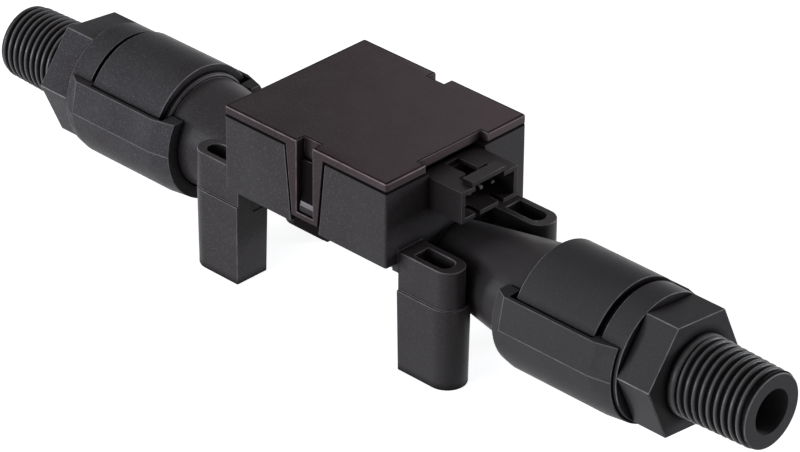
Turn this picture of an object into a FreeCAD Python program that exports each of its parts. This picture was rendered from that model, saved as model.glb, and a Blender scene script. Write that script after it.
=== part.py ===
import FreeCAD, Part
import math
import os

import Sketcher
from FreeCAD import Placement, Rotation, Vector

# In-line airflow sensor.
# The flow runs along X, Z is up, and the origin lies on the ground below the middle of the body.
# Heights in the table are measured from the axis of the flow tube, unless the note says otherwise.

SIZES = (
    ("axis_height", 14.8, "flow axis above the feet"),
    ("fit_gap", 0.05, "gap between pieces that slide together"),
    ("snap_gap", 0.1, "gap between pieces that snap together"),
    ("cut_over", 2.0, "how far a cut starts before, or ends beyond, what it opens"),
    ("box_length", 34.0, "sensor housing along the flow"),
    ("box_width", 30.0, "sensor housing across the flow"),
    ("box_underside", 3.6, "underside of the housing"),
    ("lid_headroom", 0.75, "rim and lid above the roof of the connector"),
    ("box_wall", 1.9, "side walls of the housing"),
    ("box_floor", 1.5, "floor of the housing"),
    ("corner_radius", 0.4, "upright corners of the housing and lid"),
    ("lid_thickness", 1.65, "top plate of the lid"),
    ("lid_edge_radius", 0.3, "rounding round the top of the lid"),
    ("seam_depth", 0.22, "bevel that draws the line between lid and housing"),
    ("skirt_depth", 1.4, "locating skirt under the lid"),
    ("skirt_wall", 1.2, "thickness of the locating skirt"),
    ("tongue_thickness", 1.2, "latch tongue of the lid"),
    ("tongue_top_width", 7.9, "latch tongue at the rim"),
    ("tongue_tip_width", 5.5, "latch tongue at its tip"),
    ("tongue_tip_height", 4.8, "tip of the latch tongue"),
    ("tongue_gap", 0.3, "gap round the latch tongue"),
    ("window_width", 3.4, "window in the latch tongue"),
    ("window_sill", 5.75, "lower edge of the window"),
    ("window_head", 14.45, "upper edge of the window"),
    ("notch_depth", 1.8, "slot above the window"),
    ("root_width", 6.0, "block that joins tongue and lid"),
    ("root_depth", 3.0, "back of that block from the face of the lid"),
    ("barb_height", 3.2, "catch that fills the window"),
    ("barb_reach", 0.8, "catch beyond the floor of its recess"),
    ("barb_nose", 1.1, "upright face of the catch"),
    ("keel_width", 7.3, "rib below the latch recess"),
    ("keel_drop", 1.5, "rib below the underside of the housing"),
    ("keel_thickness", 1.2, "rib below the latch recess, across"),
    ("tube_radius", 6.2, "flow tube under the housing"),
    ("cone_small_radius", 5.7, "cone at the face of the housing"),
    ("cone_large_radius", 8.6, "cone at the clip"),
    ("flange_face", 37.0, "flange that the clip hooks behind, from the middle"),
    ("flange_radius", 9.3, "flange"),
    ("flange_thickness", 1.8, "flange"),
    ("flange_proud", 0.9, "part of the flange that stands out of the fitting"),
    ("flange_bevel", 0.3, "bevel on the flange"),
    ("spigot_radius", 7.95, "spigot inside the fitting"),
    ("spigot_length", 10.8, "spigot beyond the flange"),
    ("spigot_lead", 0.6, "bevel at the end of the spigot"),
    ("seal_section", 1.6, "square section of a seal ring when fitted"),
    ("seal_groove_width", 2.1, "groove for a seal ring"),
    ("front_seal", 2.6, "front seal ring from the end of the spigot"),
    ("rear_seal", 6.9, "rear seal ring from the end of the spigot"),
    ("bore_radius", 4.4, "bore under the housing"),
    ("bore_length", 58.0, "straight part of that bore"),
    ("spigot_bore", 5.2, "bore of the spigot"),
    ("bore_flare", 3.0, "cone between the two bores, along"),
    ("screen_radius", 6.0, "flow screen"),
    ("screen_thickness", 0.4, "flow screen"),
    ("screen_seat_depth", 1.5, "seat for the screen and its ring"),
    ("screen_slot_width", 1.1, "slot of the flow screen"),
    ("screen_slot_length", 6.4, "slot of the flow screen"),
    ("screen_pitch", 1.7, "spacing of the slots of the screen"),
    ("leg_width", 6.7, "leg at the mould line, across the flow"),
    ("leg_length", 10.8, "leg at the mould line, along the flow"),
    ("leg_span", 25.5, "legs over their outer sides at the mould line"),
    ("leg_top", 5.6, "top of the leg"),
    ("leg_top_width", 5.1, "leg above the mould line, across the flow"),
    ("leg_seam", -0.9, "mould line round the leg"),
    ("leg_step", 0.3, "step at the mould line, on the outer side and the round end"),
    ("leg_draft", 0.8, "draft of the leg below the mould line, in degrees"),
    ("leg_web", 2.0, "web between leg and tube, below the mould line"),
    ("leg_hollow", 18.0, "depth of the hollow in the leg"),
    ("leg_wall", 1.05, "walls beside the hollow"),
    ("leg_root_wall", 2.4, "wall of the hollow towards the housing"),
    ("leg_end_wall", 1.8, "wall of the hollow at the round end"),
    ("deck_length", 22.0, "deck that carries the bypass"),
    ("deck_width", 11.0, "deck that carries the bypass"),
    ("deck_height", 7.4, "top of the deck"),
    ("port_spacing", 16.0, "bypass ports, centre to centre"),
    ("port_radius", 0.8, "bypass port"),
    ("gasket_thickness", 0.5, "bypass gasket"),
    ("gasket_inset", 0.4, "bypass gasket inside the edge of the deck"),
    ("bypass_thickness", 1.4, "bypass plate"),
    ("channel_depth", 0.8, "channel in the bypass plate"),
    ("chip_pocket", 3.2, "pocket over the sensing chip"),
    ("divider_length", 9.0, "flow divider"),
    ("divider_hole", 1.0, "hole of the flow divider"),
    ("divider_pitch", 2.7, "ring of holes, from the middle"),
    ("board_gap", 0.4, "circuit board from the walls of the housing"),
    ("board_thickness", 1.0, "circuit board"),
    ("package_bevel", 0.15, "bevel of a moulded package"),
    ("amplifier_x", -5.5, "amplifier from the middle, along"),
    ("amplifier_y", 4.5, "amplifier from the middle, across"),
    ("amplifier_length", 5.0, "amplifier"),
    ("amplifier_width", 4.0, "amplifier"),
    ("amplifier_height", 1.5, "amplifier"),
    ("regulator_x", -8.5, "regulator from the middle, along"),
    ("regulator_y", -5.5, "regulator from the middle, across"),
    ("regulator_length", 3.0, "regulator"),
    ("regulator_width", 1.7, "regulator"),
    ("regulator_height", 1.1, "regulator"),
    ("chip_spacing", 3.2, "small chips, centre to centre"),
    ("capacitor_start", -4.0, "first capacitor from the middle, along"),
    ("capacitor_row", -5.5, "row of capacitors from the middle, across"),
    ("capacitor_length", 2.0, "capacitor"),
    ("capacitor_width", 1.25, "capacitor"),
    ("capacitor_height", 1.1, "capacitor"),
    ("resistor_start", -8.0, "first resistor from the middle, along"),
    ("resistor_row", -9.0, "row of resistors from the middle, across"),
    ("resistor_length", 1.6, "resistor"),
    ("resistor_width", 0.8, "resistor"),
    ("resistor_height", 0.45, "resistor"),
    ("sensing_size", 2.4, "flow sensing chip"),
    ("sensing_height", 0.6, "flow sensing chip"),
    ("post_inset", 2.3, "board posts from the edges of the board"),
    ("post_radius", 1.6, "board post"),
    ("post_pin_radius", 0.8, "pin on the board post"),
    ("post_pin_height", 0.5, "pin of the post above the board"),
    ("shell_reach", 6.7, "mouth of the connector beyond the housing"),
    ("shell_length", 8.5, "connector"),
    ("shell_width", 12.0, "connector"),
    ("shell_height", 5.3, "connector"),
    ("shell_wall", 0.75, "walls of the connector"),
    ("shell_back_wall", 1.2, "back wall of the connector"),
    ("shell_foot_length", 3.0, "feet of the connector on the board"),
    ("shell_foot_width", 1.4, "feet of the connector on the board"),
    ("shell_foot_height", 2.6, "feet of the connector on the board"),
    ("latch_slot_width", 2.6, "slot in the roof of the connector"),
    ("latch_slot_setback", 0.7, "back end of that slot from the back of the connector"),
    ("latch_mouth_width", 6.2, "wide part of the slot"),
    ("latch_mouth_depth", 3.7, "wide part of the slot from the mouth"),
    ("bridge_length", 2.1, "bridge over the slot"),
    ("bridge_rise", 0.8, "bridge above the roof"),
    ("bridge_setback", 0.15, "bridge behind the mouth"),
    ("bridge_bearing", 0.4, "bridge on the roof at each side"),
    ("key_width", 1.1, "key slot in the floor of the connector"),
    ("key_spacing", 5.0, "key slots, centre to centre"),
    ("key_depth", 2.6, "key slot from the mouth"),
    ("pocket_width", 13.4, "cut-out of the lid over the connector"),
    ("pocket_depth", 1.5, "cut-out of the lid over the connector"),
    ("pin_size", 0.64, "connector pin"),
    ("pin_pitch", 2.5, "connector pins, centre to centre"),
    ("pin_height", 3.1, "pins above the board"),
    ("pin_tip_setback", 1.7, "tips of the pins behind the mouth of the connector"),
    ("pin_tail_setback", 2.3, "tails of the pins behind the connector"),
    ("pin_tail_length", 0.8, "tails below the board"),
    ("pin_tip_bevel", 0.15, "bevel at the tip of a pin"),
    ("barrel_radius", 10.6, "barrel of the fitting"),
    ("barrel_length", 15.1, "barrel of the fitting"),
    ("barrel_edge", 0.35, "rounded rims of the barrel"),
    ("groove_width", 1.0, "groove for the clip"),
    ("groove_radius", 9.5, "groove for the clip"),
    ("collar_radius", 10.25, "collar between groove and hexagon"),
    ("collar_length", 4.4, "collar between groove and hexagon"),
    ("hex_across", 17.8, "hexagon across its flats"),
    ("hex_length", 6.1, "hexagon"),
    ("hex_turn", 6.0, "how far the hexagon is turned from level, in degrees"),
    ("thread_radius", 6.58, "outside of the quarter inch pipe thread"),
    ("thread_length", 14.3, "pipe thread"),
    ("thread_lead", 0.75, "bevel at the end of the thread"),
    ("neck_bore", 5.2, "bore of the fitting behind the thread"),
    ("port_bore", 3.6, "bore of the threaded end"),
    ("port_bore_length", 17.0, "length of that bore"),
    ("port_bevel", 0.3, "bevel at the mouth of the bore"),
    ("clip_lip", 2.5, "inner lip of the clip"),
    ("clip_side", 11.45, "clip at the level of the axis, from the axis"),
    ("clip_arm_height", 5.3, "ends of the arms above the axis"),
    ("clip_arm_reach", 10.4, "ends of the arms from the middle"),
    ("clip_bottom", 11.1, "round underside of the clip"),
    ("clip_arm_wall", 0.75, "thickness of the arms beside the barrel"),
    ("clip_short_bevel", 2.0, "bevel at the end that faces the inlet, along"),
    ("clip_long_bevel", 3.8, "bevel at the end that faces the outlet, along"),
    ("clip_end_wall", 0.35, "thickness of the end that hugs the collar"),
    ("clip_overlap", 3.7, "clip over the collar"),
)


class Length:
    """A size as a number, with the expression that ties it to the table."""

    def __init__(self, value, text):
        self.value = value
        self.text = text

    def __neg__(self):
        return Length(-self.value, f"-({self.text})")

    def __add__(self, other):
        return Length(self.value + number(other), f"({self.text} + {wording(other)})")

    def __sub__(self, other):
        return Length(self.value - number(other), f"({self.text} - {wording(other)})")

    def __mul__(self, other):
        return Length(self.value * number(other), f"({self.text} * {wording(other)})")

    def __truediv__(self, other):
        return Length(self.value / number(other), f"({self.text} / {wording(other)})")

    def root(self):
        return Length(self.value ** 0.5, f"sqrt({self.text})")

    def cosine(self):
        return Length(math.cos(math.radians(self.value)), f"cos({self.text})")

    def sine(self):
        return Length(math.sin(math.radians(self.value)), f"sin({self.text})")


def number(thing):
    return thing.value if isinstance(thing, Length) else float(thing)


def wording(thing):
    return thing.text if isinstance(thing, Length) else str(thing)


class Sizes:
    """The driving dimensions, read by name."""

    def __init__(self, doc):
        sheet = doc.addObject("Spreadsheet::Sheet", "sizes")
        for row, (name, value, note) in enumerate(SIZES, start=1):
            sheet.set(f"A{row}", name)
            sheet.set(f"B{row}", str(value))
            sheet.set(f"C{row}", note)
            sheet.setAlias(f"B{row}", name)
            setattr(self, name, Length(value, f"sizes.{name}"))
        doc.recompute()


doc = FreeCAD.newDocument("airflow_sensor")
s = Sizes(doc)
NOTHING = Length(0.0, "0")
FULL_TURN = Length(360.0, "360")

NEGLIGIBLE = 1e-9

# Counts and numbered places of like features, which no size changes.

CAPACITORS = 4
RESISTORS = 5
DIVIDER_HOLES = 6
HEXAGON_SIDES = 6
PIN_PLACES = (-1, 0, 1)
SCREEN_PLACES = (-2, -1, 0, 1, 2)

# Places that several pieces share, all worked out from the table.

half_length = s.box_length / 2
half_width = s.box_width / 2
floor_top = s.box_underside + s.box_floor
recess_face = half_width - s.tongue_thickness
flange_back = s.flange_face + s.flange_thickness
spigot_end = flange_back + s.spigot_length
socket_radius = s.spigot_radius + s.fit_gap
seal_floor = socket_radius - s.seal_section
gasket_top = s.deck_height + s.gasket_thickness
board_bottom = gasket_top + s.bypass_thickness
board_top = board_bottom + s.board_thickness
shell_top = board_top + s.shell_height
rim_height = shell_top + s.lid_headroom
shell_front = half_length + s.shell_reach
shell_back = shell_front - s.shell_length
pin_tail = shell_back - s.pin_tail_setback
pin_tip = shell_front - s.pin_tip_setback
board_x = half_length - s.box_wall - s.board_gap
board_y = half_width - s.box_wall - s.board_gap
post_x = board_x - s.post_inset
post_y = board_y - s.post_inset
pin_level = board_top + s.pin_height
barrel_start = s.flange_face + s.flange_proud
barrel_end = barrel_start + s.barrel_length
groove_end = barrel_end + s.groove_width
collar_end = groove_end + s.collar_length
hex_end = collar_end + s.hex_length
thread_end = hex_end + s.thread_length
leg_outer = s.leg_span / 2
leg_inner = leg_outer - s.leg_width
leg_middle = (leg_outer + leg_inner) / 2
leg_tip = half_length + s.leg_length
leg_top_outer = leg_outer - s.leg_step
leg_top_inner = leg_top_outer - s.leg_top_width
leg_top_tip = leg_tip - s.leg_step


# Sketch helpers

def new_body(name, shift=NOTHING, yaw=0.0):
    """A body whose own X axis is the flow axis, moved sideways and turned into place."""
    body = doc.addObject("PartDesign::Body", name)
    body.Label = name
    body.Placement = Placement(Vector(0, 0, 0), Rotation(Vector(0, 0, 1), yaw))
    body.setExpression("Placement.Base.z", s.axis_height.text)
    body.setExpression("Placement.Base.y", shift.text)
    return body


def new_sketch(body, name, plane, offset=NOTHING):
    """A sketch on one of the origin planes of a body, moved along the plane's normal."""
    flat = body.newObject("Sketcher::SketchObject", f"{body.Name}_{name}")
    for feature in body.Origin.OriginFeatures:
        if feature.Role == plane:
            flat.AttachmentSupport = [(feature, "")]
    flat.MapMode = "FlatFace"
    flat.setExpression("AttachmentOffset.Base.z", offset.text)
    return flat


def hold(flat, shape, end, across, up):
    """Ties a point of a sketch to its two distances from the origin."""
    for kind, axis, distance in (("DistanceX", -2, across), ("DistanceY", -1, up)):
        if abs(number(distance)) < NEGLIGIBLE:
            flat.addConstraint(Sketcher.Constraint("PointOnObject", shape, end, axis))
            continue
        index = flat.addConstraint(Sketcher.Constraint(kind, -1, 1, shape, end, number(distance)))
        if isinstance(distance, Length):
            flat.setExpression(f"Constraints[{index}]", distance.text)


def add_outline(flat, points):
    """A closed outline of straight lines through points tied to the table."""
    first = flat.GeometryCount
    count = len(points)
    corners = [Vector(number(across), number(up), 0) for across, up in points]
    for index in range(count):
        flat.addGeometry(Part.LineSegment(corners[index], corners[(index + 1) % count]))
    for index in range(count):
        following = first + (index + 1) % count
        flat.addConstraint(Sketcher.Constraint("Coincident", first + index, 2, following, 1))
    for index, (across, up) in enumerate(points):
        hold(flat, first + index, 1, across, up)


def add_box(flat, left, right, low, high):
    add_outline(flat, [(left, low), (right, low), (right, high), (left, high)])


def add_circle(flat, across, up, radius):
    centre = Vector(number(across), number(up), 0)
    shape = flat.addGeometry(Part.Circle(centre, Vector(0, 0, 1), number(radius)))
    hold(flat, shape, 3, across, up)
    index = flat.addConstraint(Sketcher.Constraint("Radius", shape, number(radius)))
    flat.setExpression(f"Constraints[{index}]", radius.text)


def add_leg_outline(flat, side_x, side_y, face, inner, outer, tip):
    """A leg seen from above: flat towards the housing and fully round at the far end."""
    middle_y = (inner + outer) / 2 * side_y
    round_radius = (outer - inner) / 2
    centre_x = (tip - round_radius) * side_x
    face_x = face * side_x
    far_side = outer * side_y
    near_side = inner * side_y
    low, high = (near_side, far_side) if side_y * side_x > 0 else (far_side, near_side)
    first = flat.addGeometry(Part.LineSegment(
        Vector(face_x.value, low.value, 0), Vector(centre_x.value, low.value, 0)))
    circle = Part.Circle(
        Vector(centre_x.value, middle_y.value, 0), Vector(0, 0, 1), round_radius.value)
    start = -math.pi / 2 if side_x > 0 else math.pi / 2
    arc = flat.addGeometry(Part.ArcOfCircle(circle, start, start + math.pi))
    last = flat.addGeometry(Part.LineSegment(
        Vector(centre_x.value, high.value, 0), Vector(face_x.value, high.value, 0)))
    back = flat.addGeometry(Part.LineSegment(
        Vector(face_x.value, high.value, 0), Vector(face_x.value, low.value, 0)))
    flat.addConstraint([
        Sketcher.Constraint("Tangent", first, 2, arc, 1),
        Sketcher.Constraint("Tangent", arc, 2, last, 1),
        Sketcher.Constraint("Coincident", last, 2, back, 1),
        Sketcher.Constraint("Coincident", back, 2, first, 1),
    ])
    hold(flat, back, 1, face_x, high)
    hold(flat, back, 2, face_x, low)
    hold(flat, arc, 3, centre_x, middle_y)


# Feature helpers

def extrude(body, kind, flat, length, reverse=False, both=False, taper=None):
    made = body.newObject(f"PartDesign::{kind}", f"{flat.Name}_{kind.lower()}")
    made.Profile = flat
    made.Reversed = reverse
    if both:
        made.SideType = "Symmetric"
    made.setExpression("Length", length.text)
    if taper is not None:
        made.setExpression("TaperAngle", taper.text)
    flat.Visibility = False
    return made


def pad(body, flat, length, reverse=False, both=False, taper=None):
    return extrude(body, "Pad", flat, length, reverse, both, taper)


def pocket(body, flat, length, reverse=False, both=False):
    return extrude(body, "Pocket", flat, length, reverse, both)


def spin(body, kind, flat):
    """Turns a profile once round the flow axis."""
    made = body.newObject(f"PartDesign::{kind}", f"{flat.Name}_{kind.lower()}")
    made.Profile = flat
    made.ReferenceAxis = (flat, ["H_Axis"])
    made.setExpression("Angle", FULL_TURN.text)
    flat.Visibility = False
    return made


def round_edges(body, base, kind, chosen, size):
    """Rounds or bevels the edges of a feature that a test picks out."""
    doc.recompute()
    names = []
    for index, edge in enumerate(base.Shape.Edges, start=1):
        if chosen(edge):
            names.append(f"Edge{index}")
    made = body.newObject(f"PartDesign::{kind}", f"{base.Name}_{kind.lower()}")
    made.Base = (base, names)
    made.setExpression("Radius" if kind == "Fillet" else "Size", size.text)
    return made


def is_upright(edge):
    ends = [vertex.Point for vertex in edge.Vertexes]
    if len(ends) != 2:
        return False
    return abs((ends[1] - ends[0]).normalize().z) > 0.999


def is_level_at(edge, height):
    box = edge.BoundBox
    return abs(box.ZMin - height) < 1e-4 and abs(box.ZMax - height) < 1e-4


# The moulded flow body: tube, spigots, housing, legs and everything cast with them

def tube_profile(flat):
    """Half of the outline of the flow line, from one spigot end to the other."""
    half = []
    half.append((s.flange_face - s.clip_lip - s.snap_gap, s.cone_large_radius))
    half.append((s.flange_face, s.cone_large_radius))
    half.append((s.flange_face, s.flange_radius - s.flange_bevel))
    half.append((s.flange_face + s.flange_bevel, s.flange_radius))
    half.append((flange_back, s.flange_radius))
    half.append((flange_back, s.spigot_radius))
    for setback in (s.rear_seal, s.front_seal):
        centre = spigot_end - setback
        half.append((centre - s.seal_groove_width / 2, s.spigot_radius))
        half.append((centre - s.seal_groove_width / 2, seal_floor))
        half.append((centre + s.seal_groove_width / 2, seal_floor))
        half.append((centre + s.seal_groove_width / 2, s.spigot_radius))
    half.append((spigot_end - s.spigot_lead, s.spigot_radius))
    half.append((spigot_end, s.spigot_radius - s.spigot_lead))
    half.append((spigot_end, NOTHING))
    middle = [(half_length, s.tube_radius), (half_length, s.cone_small_radius)]
    right = middle + half
    left = [(-across, up) for across, up in reversed(right)]
    add_outline(flat, left + right)


def bore_profile(flat):
    """Half of the bore, with a seat for a screen in each spigot."""
    straight = s.bore_length / 2
    seat = spigot_end - s.screen_seat_depth
    right = [
        (straight, s.bore_radius),
        (straight + s.bore_flare, s.spigot_bore),
        (seat, s.spigot_bore),
        (seat, s.screen_radius + s.fit_gap),
        (spigot_end + s.fit_gap, s.screen_radius + s.fit_gap),
        (spigot_end + s.fit_gap, NOTHING),
    ]
    left = [(-across, up) for across, up in reversed(right)]
    add_outline(flat, left + right)


def tongue_outline(flat, gap, tip, head):
    """The latch tongue, a trapezoid that narrows downwards, with a gap all round."""
    slope = (s.tongue_top_width - s.tongue_tip_width) / 2 / (rim_height - s.tongue_tip_height)
    bottom = s.tongue_tip_width / 2 + gap + (tip - s.tongue_tip_height) * slope
    top = s.tongue_tip_width / 2 + gap + (head - s.tongue_tip_height) * slope
    add_outline(flat, [(-bottom, tip), (bottom, tip), (top, head), (-top, head)])


def make_flow_body():
    body = new_body("flow_body")

    flat = new_sketch(body, "tube", "XZ_Plane")
    tube_profile(flat)
    spin(body, "Revolution", flat)

    flat = new_sketch(body, "housing", "XY_Plane", s.box_underside)
    add_box(flat, -half_length, half_length, -half_width, half_width)
    housing = pad(body, flat, rim_height - s.box_underside)

    def at_corner(edge):
        middle = edge.BoundBox.Center
        out = abs(abs(middle.x) - half_length.value) < 1e-4
        return is_upright(edge) and out and abs(abs(middle.y) - half_width.value) < 1e-4

    round_edges(body, housing, "Fillet", at_corner, s.corner_radius)

    # The cavity is open at the top and keeps four walls and a floor.
    flat = new_sketch(body, "cavity", "XY_Plane", rim_height)
    inside_x = half_length - s.box_wall
    inside_y = half_width - s.box_wall
    add_box(flat, -inside_x, inside_x, -inside_y, inside_y)
    pocket(body, flat, rim_height - floor_top)

    # The deck closes the crown of the tube and carries the bypass.
    flat = new_sketch(body, "deck", "XY_Plane", s.box_underside)
    add_box(flat, -s.deck_length / 2, s.deck_length / 2, -s.deck_width / 2, s.deck_width / 2)
    pad(body, flat, s.deck_height - s.box_underside)

    # Four posts hold the board, each with a pin through it.
    for name, radius, top in (
            ("posts", s.post_radius, board_bottom),
            ("post_pins", s.post_pin_radius, board_top + s.post_pin_height)):
        flat = new_sketch(body, name, "XY_Plane", floor_top)
        for side_x in (-1, 1):
            for side_y in (-1, 1):
                add_circle(flat, post_x * side_x, post_y * side_y, radius)
        pad(body, flat, top - floor_top)

    # Below the mould line the legs are wider, on both sides, and drawn to a slight taper.
    flat = new_sketch(body, "lower_legs", "XY_Plane", s.leg_seam)
    for side_x in (-1, 1):
        for side_y in (-1, 1):
            add_leg_outline(flat, side_x, side_y, half_length, leg_inner, leg_outer, leg_tip)
    pad(body, flat, s.axis_height + s.leg_seam, reverse=True, taper=-s.leg_draft)

    flat = new_sketch(body, "upper_legs", "XY_Plane", s.leg_seam)
    for side_x in (-1, 1):
        for side_y in (-1, 1):
            add_leg_outline(flat, side_x, side_y, half_length, leg_top_inner, leg_top_outer,
                            leg_top_tip)
    pad(body, flat, s.leg_top - s.leg_seam)

    # A web at the mould line ties each pair of legs to the tube.
    flat = new_sketch(body, "leg_webs", "XY_Plane", s.leg_seam)
    for side_x in (-1, 1):
        near, far = sorted((half_length * side_x, (half_length + s.leg_length / 2) * side_x),
                           key=number)
        add_box(flat, near, far, -leg_middle, leg_middle)
    pad(body, flat, s.leg_web, reverse=True)

    flat = new_sketch(body, "leg_hollows", "XY_Plane", s.leg_top)
    for side_x in (-1, 1):
        for side_y in (-1, 1):
            add_leg_outline(flat, side_x, side_y, half_length + s.leg_root_wall,
                            leg_top_inner + s.leg_wall, leg_top_outer - s.leg_wall,
                            leg_top_tip - s.leg_end_wall)
    pocket(body, flat, s.leg_hollow)

    # Each long side has a tapered recess for a latch tongue, with its catch and a keel below.
    barb_top = s.window_sill + s.barb_height
    for word, side in (("near", 1), ("far", -1)):
        flat = new_sketch(body, f"{word}_recess", "XZ_Plane", recess_face * side)
        tongue_outline(flat, s.tongue_gap, s.box_underside - s.cut_over, rim_height + s.cut_over)
        pocket(body, flat, s.box_wall, reverse=side > 0)

        flat = new_sketch(body, f"{word}_root_notch", "XZ_Plane", (half_width - s.root_depth) * side)
        half_root = s.root_width / 2 + s.fit_gap
        add_box(flat, -half_root, half_root, s.window_head - s.fit_gap, rim_height + s.cut_over)
        pocket(body, flat, s.root_depth, reverse=side > 0)

        flat = new_sketch(body, f"{word}_barb", "YZ_Plane")
        root = -(half_width - s.box_wall) * side
        floor = -recess_face * side
        nose = -(recess_face + s.barb_reach) * side
        add_outline(flat, [
            (root, s.window_sill + s.fit_gap),
            (nose, s.window_sill + s.fit_gap),
            (nose, s.window_sill + s.barb_nose),
            (floor, barb_top),
            (root, barb_top),
        ])
        pad(body, flat, s.window_width - s.snap_gap * 2, both=True)

        flat = new_sketch(body, f"{word}_keel", "XZ_Plane", recess_face * side)
        half_keel = s.keel_width / 2
        add_box(flat, -half_keel, half_keel, s.box_underside - s.keel_drop, floor_top)
        pad(body, flat, s.keel_thickness, reverse=side > 0)

    # The wall on the outlet side is cut away for the connector.
    flat = new_sketch(body, "connector_gate", "YZ_Plane", inside_x - s.cut_over)
    half_gate = s.shell_width / 2 + s.fit_gap
    add_box(flat, -half_gate, half_gate, board_top - s.fit_gap, rim_height + s.cut_over)
    pocket(body, flat, s.box_wall + s.cut_over * 2, reverse=True)

    # The bore runs from end to end, and two ports lead up to the bypass.
    flat = new_sketch(body, "bore", "XZ_Plane")
    bore_profile(flat)
    spin(body, "Groove", flat)
    flat = new_sketch(body, "ports", "XY_Plane", s.deck_height)
    for side_x in (-1, 1):
        add_circle(flat, s.port_spacing / 2 * side_x, NOTHING, s.port_radius)
    pocket(body, flat, s.deck_height)


# The lid with its skirt and two latch tongues

def make_lid():
    body = new_body("lid")

    flat = new_sketch(body, "plate", "XY_Plane", rim_height)
    add_box(flat, -half_length, half_length, -half_width, half_width)
    plate = pad(body, flat, s.lid_thickness)
    corners = round_edges(body, plate, "Fillet", is_upright, s.corner_radius)
    top = (rim_height + s.lid_thickness).value
    rounded = round_edges(body, corners, "Fillet", lambda edge: is_level_at(edge, top),
                          s.lid_edge_radius)
    round_edges(body, rounded, "Chamfer", lambda edge: is_level_at(edge, rim_height.value),
                s.seam_depth)

    flat = new_sketch(body, "skirt", "XY_Plane", rim_height)
    skirt_x = half_length - s.box_wall - s.snap_gap
    skirt_y = half_width - s.box_wall - s.snap_gap
    add_box(flat, -skirt_x, skirt_x, -skirt_y, skirt_y)
    add_box(flat, -(skirt_x - s.skirt_wall), skirt_x - s.skirt_wall,
            -(skirt_y - s.skirt_wall), skirt_y - s.skirt_wall)
    pad(body, flat, s.skirt_depth, reverse=True)

    for word, side in (("near", 1), ("far", -1)):
        flat = new_sketch(body, f"{word}_tongue", "XZ_Plane", (recess_face + s.fit_gap) * side)
        tongue_outline(flat, NOTHING, s.tongue_tip_height, rim_height + s.lid_thickness / 2)
        pad(body, flat, s.tongue_thickness - s.fit_gap, reverse=side < 0)

        flat = new_sketch(body, f"{word}_root", "XZ_Plane", (half_width - s.root_depth + s.fit_gap) * side)
        half_root = s.root_width / 2
        add_box(flat, -half_root, half_root, s.window_head, rim_height + s.lid_thickness / 2)
        pad(body, flat, s.root_depth - s.tongue_thickness, reverse=side < 0)

        flat = new_sketch(body, f"{word}_slot", "XZ_Plane", (half_width - s.notch_depth) * side)
        half_window = s.window_width / 2
        top_edge = rim_height + s.lid_thickness + s.cut_over
        add_box(flat, -half_window, half_window, s.window_sill, top_edge)
        pocket(body, flat, s.notch_depth + s.cut_over, reverse=side > 0)

    # The edge over the connector is set back.
    flat = new_sketch(body, "connector_edge", "XY_Plane", rim_height + s.lid_thickness)
    half_pocket = s.pocket_width / 2
    add_box(flat, half_length - s.pocket_depth, half_length + s.cut_over, -half_pocket, half_pocket)
    pocket(body, flat, s.lid_thickness + s.skirt_depth)
    half_gate = s.shell_width / 2 + s.snap_gap
    flat = new_sketch(body, "skirt_gate", "XY_Plane", rim_height)
    add_box(flat, skirt_x - s.skirt_wall - s.cut_over, half_length, -half_gate, half_gate)
    pocket(body, flat, s.skirt_depth)


# The electronics under the lid

def make_circuit_board():
    body = new_body("circuit_board")
    flat = new_sketch(body, "outline", "XY_Plane", board_bottom)
    add_box(flat, -board_x, board_x, -board_y, board_y)
    for side_x in (-1, 1):
        for side_y in (-1, 1):
            add_circle(flat, post_x * side_x, post_y * side_y, s.post_pin_radius + s.fit_gap)
    half_diagonal = (s.pin_size * s.pin_size / 2).root()
    for place in PIN_PLACES:
        add_circle(flat, pin_tail, s.pin_pitch * place, half_diagonal + s.fit_gap)
    pad(body, flat, s.board_thickness)


def make_package(name, centre_x, centre_y, base, length, width, height):
    """A moulded package on the board, with the edges of its face bevelled."""
    body = new_body(name)
    flat = new_sketch(body, "outline", "XY_Plane", base)
    add_box(flat, centre_x - length / 2, centre_x + length / 2,
            centre_y - width / 2, centre_y + width / 2)
    block = pad(body, flat, height)
    face = (base + height).value
    round_edges(body, block, "Chamfer", lambda edge: is_level_at(edge, face), s.package_bevel)


def make_chip_row(name, start_x, row_y, count, length, width, height):
    """Small chips of one kind, soldered on the board in a row."""
    body = new_body(name)
    flat = new_sketch(body, "outline", "XY_Plane", board_top)
    for place in range(count):
        middle = start_x + s.chip_spacing * place
        add_box(flat, middle - length / 2, middle + length / 2, row_y - width / 2, row_y + width / 2)
    pad(body, flat, height)


def make_electronics():
    make_circuit_board()
    make_package("amplifier_chip", s.amplifier_x, s.amplifier_y, board_top,
                 s.amplifier_length, s.amplifier_width, s.amplifier_height)
    make_package("regulator_chip", s.regulator_x, s.regulator_y, board_top,
                 s.regulator_length, s.regulator_width, s.regulator_height)
    make_chip_row("chip_capacitors", s.capacitor_start, s.capacitor_row, CAPACITORS,
                  s.capacitor_length, s.capacitor_width, s.capacitor_height)
    make_chip_row("chip_resistors", s.resistor_start, s.resistor_row, RESISTORS,
                  s.resistor_length, s.resistor_width, s.resistor_height)
    make_package("flow_sensing_chip", NOTHING, NOTHING, board_bottom - s.sensing_height,
                 s.sensing_size, s.sensing_size, s.sensing_height)


# The right-angle connector with its three pins

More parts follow.
